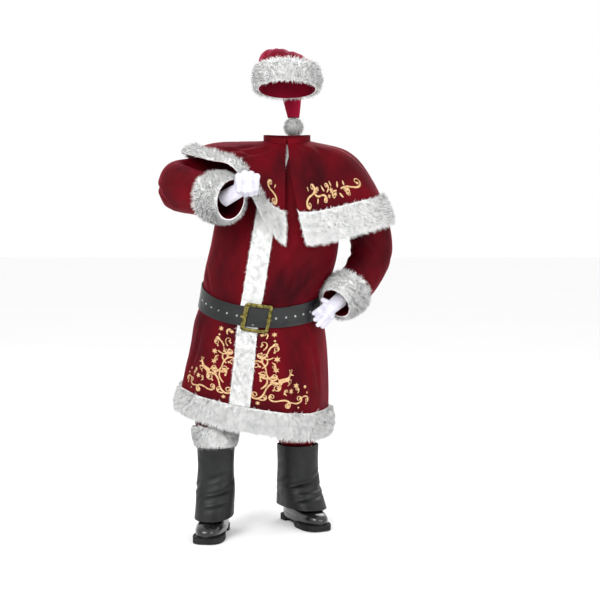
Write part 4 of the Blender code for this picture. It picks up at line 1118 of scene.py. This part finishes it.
def sole(side_name):
    """A sole with a rounded plan and a low heel."""
    stations = evenly(SOLE_ROWS[0][0], SOLE_ROWS[-1][0], 70)
    skins = []
    for level in (2, 1):
        skin = []
        for ahead in stations:
            half_width = row_at(SOLE_ROWS, ahead)[0]
            height = FLOOR + max(row_at(SOLE_ROWS, ahead)[level], 0.0)
            skin.append([boot_place(side_name, ahead, half_width * math.sin(share), height)
                         for share in evenly(-math.pi / 2, math.pi / 2, 14)])
        skins.append(np.array(skin))
    walls("boot_sole_%s_rubber" % side_name, *skins, False, SOLE_RUBBER, "sole_rubber",
          ("boot_sole_" + side_name,))


# ---------------------------------------------------------------- gloves

def capsule(work, start, end, start_radius, end_radius):
    """Adds a closed tapered rod with round ends."""
    along = (end - start).normalized()
    first = along.orthogonal().normalized()
    second = along.cross(first)
    rings = []
    for centre, radius, bends in ((start, start_radius, (-80, -50, -20)),
                                  (end, end_radius, (20, 50, 80))):
        for bend in bends:
            slope = math.radians(bend)
            middle = centre + along * radius * math.sin(slope)
            rings.append([work.verts.new(middle + (first * math.cos(turn) + second
                                                   * math.sin(turn)) * radius * math.cos(slope))
                          for turn in evenly(0, 2 * math.pi, 16)[:-1]])
    for ring, following in zip(rings, rings[1:]):
        for index in range(16):
            beside = (index + 1) % 16
            work.faces.new((ring[index], ring[beside], following[beside], following[index]))
    work.faces.new(rings[0][::-1])
    work.faces.new(rings[-1])


def applied(made, name):
    """The mesh that an object's modifiers make, as a mesh of its own."""
    graph = bpy.context.evaluated_depsgraph_get()
    mesh = bpy.data.meshes.new_from_object(made.evaluated_get(graph))
    bpy.data.objects.remove(made, do_unlink=True)
    mesh.name = name
    return mesh


GLOVE_RIBS = {
    # stretches of the hand whose backs carry a sewn rib
    "right": ("hand_1", "hand_2", "hand_3", "finger_1", "finger_2", "finger_3", "finger_4"),
    "left": ("hand_1", "hand_2", "hand_3"),
}


def gloves():
    """Knit gloves, each one smooth skin over its hand's stretches, open at the wrist."""
    for side_name, stretches in GLOVES.items():
        work = bmesh.new()
        for _, x1, y1, z1, x2, y2, z2, start_radius, end_radius in stretches:
            capsule(work, Vector((x1, y1, z1)), Vector((x2, y2, z2)), start_radius, end_radius)
        form = bpy.data.meshes.new("glove_form")
        work.to_mesh(form)
        work.free()
        made = bpy.data.objects.new("glove_form", form)
        bpy.context.scene.collection.objects.link(made)
        remesh = made.modifiers.new("skin", "REMESH")
        remesh.mode = "VOXEL"
        remesh.voxel_size = 0.0021
        soft = made.modifiers.new("soft", "SMOOTH")
        soft.iterations = 6
        soft.factor = 0.5
        mesh = applied(made, "glove_skin")
        rib_gloves(mesh, side_name)
        _, x1, y1, z1, x2, y2, z2, _, _ = stretches[0]
        start = Vector((x1, y1, z1))
        along = (Vector((x2, y2, z2)) - start).normalized()
        work = bmesh.new()
        work.from_mesh(mesh)
        gone = [vert for vert in work.verts if (vert.co - start).dot(along) < -0.006]
        bmesh.ops.delete(work, geom=gone, context="VERTS")
        work.to_mesh(mesh)
        work.free()
        made = bpy.data.objects.new("glove_skin", mesh)
        bpy.context.scene.collection.objects.link(made)
        wall = made.modifiers.new("wall", "SOLIDIFY")
        wall.thickness = 0.0012
        wall.offset = -1.0
        mesh = applied(made, "glove_wall")
        points = np.array([vert.co for vert in mesh.vertices])
        faces = [list(face.vertices) for face in mesh.polygons]
        made = add_piece("glove_%s_knit" % side_name, points, faces, KNIT, "glove_cloth",
                         ("glove_" + side_name,))


def rib_gloves(mesh, side_name):
    """Raises the sewn ribs along the back of a glove."""
    points = np.array([vert.co for vert in mesh.vertices])
    normals = np.array([vert.normal for vert in mesh.vertices])
    lift = np.zeros(len(points))
    for name, x1, y1, z1, x2, y2, z2, start_radius, end_radius in GLOVES[side_name]:
        if name not in GLOVE_RIBS[side_name]:
            continue
        out = Vector((-0.1, -1.0, 0.25)) if side_name == "right" else Vector((0.1, -1.0, 0.1))
        out.normalize()
        line = [np.array(Vector(place) + out * radius) for place, radius in
                (((x1, y1, z1), start_radius), ((x2, y2, z2), end_radius))]
        away, _ = beside_line(points, line)
        lift = np.maximum(lift, 0.0013 * np.exp(-(away / 0.0022) ** 2))
    for vert, point, normal, height in zip(mesh.vertices, points, normals, lift):
        vert.co = Vector(point + normal * height)


# ---------------------------------------------------------------- belt and buckle

BELT_CREASES = (
    # height and angle where it starts and ends (degrees), bend, half width, height
    (-0.550, -34, -0.622, -42, 3, 0.007, -0.0012),
    (-0.556, -58, -0.624, -50, -3, 0.006, -0.0011),
    (-0.552, 34, -0.620, 27, 3, 0.007, -0.0011),
    (-0.554, 52, -0.626, 60, 3, 0.006, -0.0012),
    (-0.552, 128, -0.622, 120, 3, 0.007, -0.0012),
    (-0.554, 168, -0.622, 176, 3, 0.007, -0.0012),
    (-0.552, 226, -0.622, 218, 3, 0.007, -0.0012),
)
EYELET_SPACING, EYELET_START = 0.040, 0.064
EYELET_RADIUS, EYELET_ROLL = 0.0036, 0.0012


def belt():
    """The strap with its edge grooves and its eyelets."""
    grid = Grid(belt_point, evenly(BELT_TOP, BELT_BOTTOM, 32), around(260), wrap=True)
    share = np.linspace(0, 1, 33)[:, None]
    groove = sum(np.exp(-((share - place) / 0.022) ** 2) for place in (0.085, 0.915))
    rounding = 1 - np.clip(np.minimum(share, 1 - share) / 0.03, 0, 1)
    depth = relief(grid.points, belt_point, BELT_CREASES) * 0.8
    outer = LEATHER + depth - 0.0007 * groove - 0.0010 * rounding
    made = shell("belt_strap_leather", grid, 0.0, outer, BELT_LEATHER, "belt_leather",
                 ("belt_strap",))
    spots = [BUCKLE_ANGLE + side * (EYELET_START + EYELET_SPACING * number) / BELT_HALF_WIDTH
             for side in (-1, 1) for number in range(6)]
    rings = [ring(moved(belt_point, BELT_MIDDLE, angle, LEATHER + 0.0006),
                  moved(belt_point, BELT_MIDDLE, angle, 1.0)
                  - moved(belt_point, BELT_MIDDLE, angle, 0.0)) for angle in spots]
    window = (-0.012, -0.028)
    rings.append(ring(on_belt(*window, 0.0006), on_belt(*window, 1.0) - on_belt(*window, 0.0)))
    joined("belt_eyelets", rings, NICKEL, "eyelet_metal")


def ring(centre, normal):
    """An eyelet's rolled rim round a dark hole, as points and faces."""
    first = normal.orthogonal().normalized()
    second = normal.cross(first).normalized()
    normal = normal.normalized()
    points, faces = [], []
    for index in range(20):
        turn = 2 * math.pi * index / 20
        out = first * math.cos(turn) + second * math.sin(turn)
        for part in range(8):
            slope = 2 * math.pi * part / 8
            points.append(centre + out * (EYELET_RADIUS - 0.0008 + EYELET_ROLL * math.cos(slope))
                          + normal * EYELET_ROLL * 0.7 * math.sin(slope))
            beside, following = (part + 1) % 8, (index + 1) % 20
            faces.append((index * 8 + part, index * 8 + beside,
                          following * 8 + beside, following * 8 + part))
    return points, faces


def joined(name, parts, finish, slot):
    """One piece from several lists of points and faces."""
    points, faces = [], []
    for part_points, part_faces in parts:
        faces += [tuple(corner + len(points) for corner in face) for face in part_faces]
        points += part_points
    return add_piece(name, [tuple(point) for point in points], faces, finish, slot)


def on_belt(across, up, lift):
    """A place over the belt's outer side beside the buckle's centre, with the buckle's roll."""
    turned_across = across * math.cos(BUCKLE_ROLL) + up * math.sin(BUCKLE_ROLL)
    turned_up = up * math.cos(BUCKLE_ROLL) - across * math.sin(BUCKLE_ROLL)
    angle = BUCKLE_ANGLE + turned_across / BELT_HALF_WIDTH
    base = moved(belt_point, BELT_MIDDLE, angle, LEATHER + lift)
    above, below = belt_point(BELT_MIDDLE + 0.01, angle), belt_point(BELT_MIDDLE - 0.01, angle)
    return base + (above - below).normalized() * turned_up


def buckle_outline(inset):
    """The buckle's rounded rectangle, drawn in by inset, as across and up from its centre."""
    corner = max(0.012 - 0.7 * inset, 0.003)
    half_across = BUCKLE_WIDTH / 2 - inset - corner
    half_up = BUCKLE_HEIGHT / 2 - inset - corner
    outline = []
    sides = ((1, 1), (-1, 1), (-1, -1), (1, -1))
    for quarter, (side, level) in enumerate(sides):
        next_side, next_level = sides[(quarter + 1) % 4]
        for turn in evenly(0, 90, 8):
            angle = math.radians(90 * quarter + turn)
            outline.append((side * half_across + corner * math.cos(angle),
                            level * half_up + corner * math.sin(angle)))
        last, turn = outline[-1], math.radians(90 * quarter + 90)
        after = (next_side * half_across + corner * math.cos(turn),
                 next_level * half_up + corner * math.sin(turn))
        outline += [(last[0] + (after[0] - last[0]) * share, last[1] + (after[1] - last[1]) * share)
                    for share in evenly(0, 1, 8)[1:-1]]
    return outline


def buckle():
    """The cast frame with its rounded bevels, and brass on the two ends of the prong."""
    bevel = [(0.5 - 0.5 * math.cos(turn), 0.12 + 0.88 * math.sin(turn) ** 0.6)
             for turn in evenly(0.0, math.pi, 10)]
    section = bevel + [(0.92, 0.0), (0.08, 0.0)]
    loops = [[on_belt(across, up, BUCKLE_LIFT + rise * BUCKLE_THICKNESS)
              for across, up in buckle_outline(inward * BUCKLE_BAR)] for inward, rise in section]
    count, faces = len(loops[0]), []
    for row in range(len(loops)):
        for column in range(count):
            beside, following = (column + 1) % count, (row + 1) % len(loops)
            faces.append((row * count + column, row * count + beside,
                          following * count + beside, following * count + column))
    points = [tuple(point) for loop in loops for point in loop]
    made = add_piece("buckle_frame_cast", points, faces, BRASS, "brass", ("buckle_frame",))
    face_out(made)
    for node in ("buckle_prong_loop", "buckle_prong_tip"):
        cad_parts[node].material_slots[0].material = BRASS


# ---------------------------------------------------------------- gold print

PRINT_BOTTOM = -0.943         # height on the coat of the print's lower edge
PRINT_RADIUS = 0.245          # turns distance round the skirt into angle
PRINT_LIFT = 0.0010
SKIRT_SCROLL_SIZE, SKIRT_STROKE = 1.2, 1.15
GARLAND_SCROLL_SIZE, GARLAND_STROKE = 1.4, 1.2
SKIRT_SCROLLS = (
    # out from the placket, up, heading (degrees), length, curl (per metre), width
    (0.030, 0.052, 74, 0.118, -175, 0.0066),
    (0.030, 0.052, 254, 0.096, -205, 0.0062),
    (0.028, 0.128, 100, 0.112, 180, 0.0062),
    (0.028, 0.128, 280, 0.092, 215, 0.0058),
    (0.030, 0.204, 76, 0.090, -215, 0.0058),
    (0.030, 0.204, 256, 0.076, -245, 0.0054),
    (0.022, 0.262, 60, 0.052, 330, 0.0050),
    (0.014, 0.092, 120, 0.044, -360, 0.0044),
    (0.044, 0.088, 20, 0.048, 330, 0.0046),
    (0.012, 0.166, 70, 0.042, 380, 0.0042),
    (0.046, 0.164, -20, 0.040, -380, 0.0042),
    (0.046, 0.232, 60, 0.036, -400, 0.0040),
    (0.012, 0.020, -10, 0.050, 300, 0.0050),
    (0.016, 0.060, 40, 0.070, 150, 0.0056),
    (0.050, 0.108, 210, 0.070, -190, 0.0054),
    (0.014, 0.138, 40, 0.064, 170, 0.0052),
    (0.050, 0.184, 215, 0.060, -210, 0.0050),
    (0.014, 0.212, 45, 0.054, 200, 0.0048),
    (0.080, 0.024, 22, 0.082, -225, 0.0060),
    (0.080, 0.024, 202, 0.070, -250, 0.0056),
    (0.132, 0.020, -14, 0.074, 240, 0.0058),
    (0.132, 0.020, 166, 0.056, 290, 0.0050),
    (0.166, 0.040, 30, 0.060, -290, 0.0052),
    (0.104, 0.046, 140, 0.036, -400, 0.0040),
    (0.150, 0.056, 60, 0.032, 440, 0.0038),
)
SKIRT_STARS = (
    # out, up, radius
    (0.052, 0.282, 0.0125), (0.064, 0.178, 0.0135), (0.062, 0.136, 0.0125),
    (0.122, 0.062, 0.0115), (0.142, 0.082, 0.0110), (0.006, 0.278, 0.0090),
    (0.010, 0.006, 0.0085),
)
SKIRT_DOTS = (
    # out, up, radius
    (0.054, 0.254, 0.0046), (0.058, 0.236, 0.0036), (0.054, 0.206, 0.0044),
    (0.006, 0.228, 0.0036), (0.008, 0.198, 0.0044), (0.006, 0.144, 0.0040),
    (0.056, 0.158, 0.0036), (0.006, 0.118, 0.0034), (0.058, 0.060, 0.0036),
    (0.180, 0.078, 0.0050), (0.190, 0.058, 0.0036), (0.186, 0.020, 0.0034),
    (0.112, 0.004, 0.0036), (0.156, 0.004, 0.0034), (0.096, 0.052, 0.0034),
)
DEER = (
    # strokes of a leaping deer: out and up of each end, and the width at each end
    (-0.016, -0.002, 0.014, 0.008, 0.0150, 0.0130),
    (0.012, 0.008, 0.022, 0.024, 0.0100, 0.0060),
    (0.021, 0.024, 0.032, 0.021, 0.0070, 0.0036),
    (0.022, 0.026, 0.016, 0.042, 0.0026, 0.0016),
    (0.019, 0.035, 0.026, 0.042, 0.0022, 0.0014),
    (0.024, 0.026, 0.028, 0.040, 0.0024, 0.0014),
    (0.011, 0.004, 0.027, 0.004, 0.0052, 0.0030),
    (0.027, 0.004, 0.023, -0.008, 0.0034, 0.0022),
    (0.008, 0.002, 0.018, -0.010, 0.0050, 0.0028),
    (0.018, -0.010, 0.010, -0.017, 0.0030, 0.0020),
    (-0.015, -0.004, -0.026, -0.014, 0.0074, 0.0036),
    (-0.026, -0.014, -0.040, -0.018, 0.0038, 0.0022),
    (-0.011, -0.006, -0.016, -0.020, 0.0070, 0.0034),
    (-0.016, -0.020, -0.027, -0.028, 0.0036, 0.0022),
    (-0.022, 0.002, -0.028, 0.009, 0.0044, 0.0020),
)
DEER_PLACE, DEER_SIZE = (0.096, 0.098), 1.0
GARLAND_SCROLLS = (
    # along the cape, up, heading (degrees), length, curl (per metre), width
    (0.034, 0.000, 196, 0.062, 300, 0.0062),
    (0.034, 0.000, 16, 0.052, 330, 0.0056),
    (0.078, -0.004, 190, 0.052, -340, 0.0056),
    (0.078, -0.004, 10, 0.046, -360, 0.0052),
    (0.108, 0.002, 30, 0.036, 420, 0.0046),
    (0.150, 0.000, 170, 0.040, 400, 0.0046),
    (0.168, 0.002, 24, 0.046, -340, 0.0050),
    (0.204, 0.002, 150, 0.036, 400, 0.0044),
    (0.204, 0.002, -24, 0.058, 250, 0.0054),
    (0.056, 0.008, 70, 0.026, -520, 0.0036),
    (0.186, -0.002, 250, 0.026, 520, 0.0036),
)
GARLAND_FLOWERS = ((0.128, 0.004, 0.0090), (0.142, -0.008, 0.0065), (0.114, -0.010, 0.0060))
GARLAND_LEAVES = (
    # along, up, heading (degrees), length, width
    (0.098, 0.006, 120, 0.020, 0.0070), (0.100, -0.008, 230, 0.018, 0.0064),
    (0.156, 0.008, 60, 0.020, 0.0070), (0.158, -0.008, -50, 0.018, 0.0064),
    (0.132, 0.014, 96, 0.016, 0.0060), (0.064, -0.010, 250, 0.015, 0.0054),
    (0.186, 0.010, 80, 0.015, 0.0054), (0.024, 0.012, 110, 0.013, 0.0048),
)


class Print:
    """Flat shapes in metres, kept as points and faces until they are laid on the cloth."""

    def __init__(self):
        self.points = []
        self.faces = []

    def ribbon(self, line, widths):
        """A stroke along a line of flat places, with a width at each."""
        first = len(self.points)
        for number, (place, width) in enumerate(zip(line, widths)):
            before, after = line[max(number - 1, 0)], line[min(number + 1, len(line) - 1)]
            heading = np.array(after) - np.array(before)
            side = np.array([-heading[1], heading[0]]) / max(np.linalg.norm(heading), 1e-9)
            for share, height in ((-0.5, 0.0), (0.0, 1.0), (0.5, 0.0)):
                self.points.append((*(np.array(place) + side * width * share), height))
        for number in range(len(line) - 1):
            for column in (0, 1):
                corner = first + number * 3 + column
                self.faces.append((corner, corner + 1, corner + 4, corner + 3))

    def scroll(self, out, up, heading, length, curl, width):
        """A stroke that curls ever tighter and ends in a small ball."""
        steps = 34
        place, turn, line = np.array([out, up]), math.radians(heading), []
        for share in evenly(0, 1, steps):
            line.append(tuple(place))
            turn += curl * (0.05 + 0.95 * share ** 1.3) * length / steps
            place = place + np.array([math.cos(turn), math.sin(turn)]) * length / steps
        widths = [width * (0.62 + 0.38 * math.sin(math.pi * min(share * 1.5, 1.0)))
                  * (1 - 0.35 * share) for share in evenly(0, 1, steps)]
        self.ribbon(line, widths)
        self.disc(*line[-1], width * 0.62)

    def disc(self, out, up, radius):
        """A domed dot."""
        self.petals(out, up, [radius] * 14)

    def petals(self, out, up, reaches):
        """A closed shape round a middle, from its reach in each direction."""
        first = len(self.points)
        self.points.append((out, up, 1.0))
        for number, reach in enumerate(reaches):
            turn = 2 * math.pi * number / len(reaches) + math.pi / 2
            self.points.append((out + reach * math.cos(turn), up + reach * math.sin(turn), 0.0))
        for number in range(len(reaches)):
            self.faces.append((first, first + 1 + number,
                               first + 1 + (number + 1) % len(reaches)))

    def star(self, out, up, radius):
        """A six-pointed star."""
        self.petals(out, up, [radius, radius * 0.46] * 6)

    def flower(self, out, up, radius):
        """Five round petals."""
        self.petals(out, up, [radius * (0.72 + 0.28 * math.cos(5 * turn))
                              for turn in evenly(0, 2 * math.pi, 40)[:-1]])

    def leaf(self, out, up, heading, length, width):
        """A pointed leaf."""
        turn = math.radians(heading)
        line = [(out + math.cos(turn) * length * share, up + math.sin(turn) * length * share)
                for share in evenly(0, 1, 8)]
        self.ribbon(line, [width * math.sin(math.pi * (0.08 + 0.92 * share)) ** 0.8 + 0.0003
                           for share in evenly(0, 1, 8)])

    def lay(self, name, surface, creases, place_of, facing):
        """Lays the shapes on a surface: place_of turns a flat place into the surface's numbers."""
        places, normals = [], []
        for out, up, _ in self.points:
            first, second = place_of(out, up)
            here = surface(first, second)
            places.append(here)
            normals.append(moved(surface, first, second, facing) - here)
        places, normals = np.array(places), np.array(normals)
        heights = np.array([height for _, _, height in self.points])
        lift = relief(places, surface, creases) + PRINT_LIFT + 0.0007 * heights
        made = add_piece(name, places + normals * lift[:, None], self.faces, GOLD, "gold_print")
        return made


def skirt_print(side_name, side):
    """The scroll column, the arm along the hem, the stars and the deer on a front."""
    shapes = Print()
    for row in SKIRT_SCROLLS:
        shapes.scroll(*row[:3], row[3] * SKIRT_SCROLL_SIZE, row[4] / SKIRT_SCROLL_SIZE,
                      row[5] * SKIRT_STROKE)
    for row in SKIRT_STARS:
        shapes.star(*row)
    for row in SKIRT_DOTS:
        shapes.disc(*row)
    for out_a, up_a, out_b, up_b, width_a, width_b in DEER:
        start = np.array(DEER_PLACE) + np.array([out_a, up_a]) * DEER_SIZE
        end = np.array(DEER_PLACE) + np.array([out_b, up_b]) * DEER_SIZE
        shares = evenly(0, 1, 6)
        shapes.ribbon([tuple(start + (end - start) * share) for share in shares],
                      [(width_a + (width_b - width_a) * share) * DEER_SIZE for share in shares])
        shapes.disc(*start, width_a * DEER_SIZE / 2)
        shapes.disc(*end, width_b * DEER_SIZE / 2)

    def place_of(out, up):
        height = PRINT_BOTTOM + up
        return height, side * (placket_angle(height) + 0.05 + out / PRINT_RADIUS)

    shapes.lay("skirt_print_" + side_name, coat_point, COAT_CREASES, place_of, 1)


def cape_print(side_name, side, first_azimuth, along_limit):
    """The garland over the fur of the cape's front."""
    shapes = Print()
    for row in GARLAND_SCROLLS:
        if row[0] < along_limit:
            shapes.scroll(*row[:3], row[3] * GARLAND_SCROLL_SIZE,
                          row[4] / GARLAND_SCROLL_SIZE, row[5] * GARLAND_STROKE)
    for row in GARLAND_FLOWERS:
        if row[0] < along_limit:
            shapes.flower(*row)
    for row in GARLAND_LEAVES:
        if row[0] < along_limit:
            shapes.leaf(*row)

    def place_of(along, up):
        azimuth = side * math.radians(first_azimuth + along / 0.285 * 57.3)
        return CAPE_FUR_START - 0.125 - up / 0.33, azimuth

    shapes.lay("cape_print_" + side_name, cape_point, CAPE_CREASES, place_of, -1)


# ---------------------------------------------------------------- camera, floor and light

def area_light(name, place, target, width, power):
    """A square soft light that looks at a place."""
    lamp = bpy.data.lights.new(name, "AREA")
    lamp.size = width
    lamp.energy = power
    made = bpy.data.objects.new(name, lamp)
    made.location = place
    made.rotation_euler = (Vector(target) - Vector(place)).to_track_quat("-Z", "Y").to_euler()
    bpy.context.scene.collection.objects.link(made)


def stage():
    """A pale floor under an even pale sky, three soft lights and the camera."""
    size = 60.0
    mesh = bpy.data.meshes.new("floor")
    mesh.from_pydata([(-size, -size, FLOOR - 0.0005), (size, -size, FLOOR - 0.0005),
                      (size, size, FLOOR - 0.0005), (-size, size, FLOOR - 0.0005)],
                     [], [(0, 1, 2, 3)])
    finish = Finish("floor", Roughness=0.9, Specular_IOR_Level=0.1)
    finish.paint(finish.ramp(finish.noise(0.6), (0.2, (0.95, 0.95, 0.95)), (0.8, (0.97, 0.97, 0.97))))
    mesh.materials.append(finish.made)
    floor = bpy.data.objects.new("floor", mesh)
    bpy.context.scene.collection.objects.link(floor)

    world = bpy.data.worlds.new("sky")
    world.use_nodes = True
    sky = world.node_tree.nodes["Background"]
    sky.inputs["Color"].default_value = (1.0, 1.0, 1.0, 1.0)
    sky.inputs["Strength"].default_value = 1.0
    bpy.context.scene.world = world
    middle = (0.0, 0.0, -0.55)
    area_light("key", (-2.2, -4.0, 2.2), middle, 2.2, 170)
    area_light("fill", (3.4, -3.2, 0.8), middle, 2.6, 75)
    area_light("back", (1.5, 4.0, 2.4), middle, 2.5, 90)

    camera = bpy.data.cameras.new("camera")
    camera.angle = math.radians(25.7)
    made = bpy.data.objects.new("camera", camera)
    place, target = Vector((0.049, -5.0, -0.35)), Vector((0.049, 0.0, -0.597))
    made.location = place
    made.rotation_euler = (target - place).to_track_quat("-Z", "Y").to_euler()
    bpy.context.scene.collection.objects.link(made)
    bpy.context.scene.camera = made
    bpy.context.scene.view_settings.view_transform = "Standard"


stage()
coat()
sleeves()
cape()
hat()
trousers()
boots()
gloves()
belt()
buckle()
for side_name, side in (("left", 1), ("right", -1)):
    skirt_print(side_name, side)
cape_print("left", 1, 17, 1.0)
cape_print("right", -1, 7, 0.05)
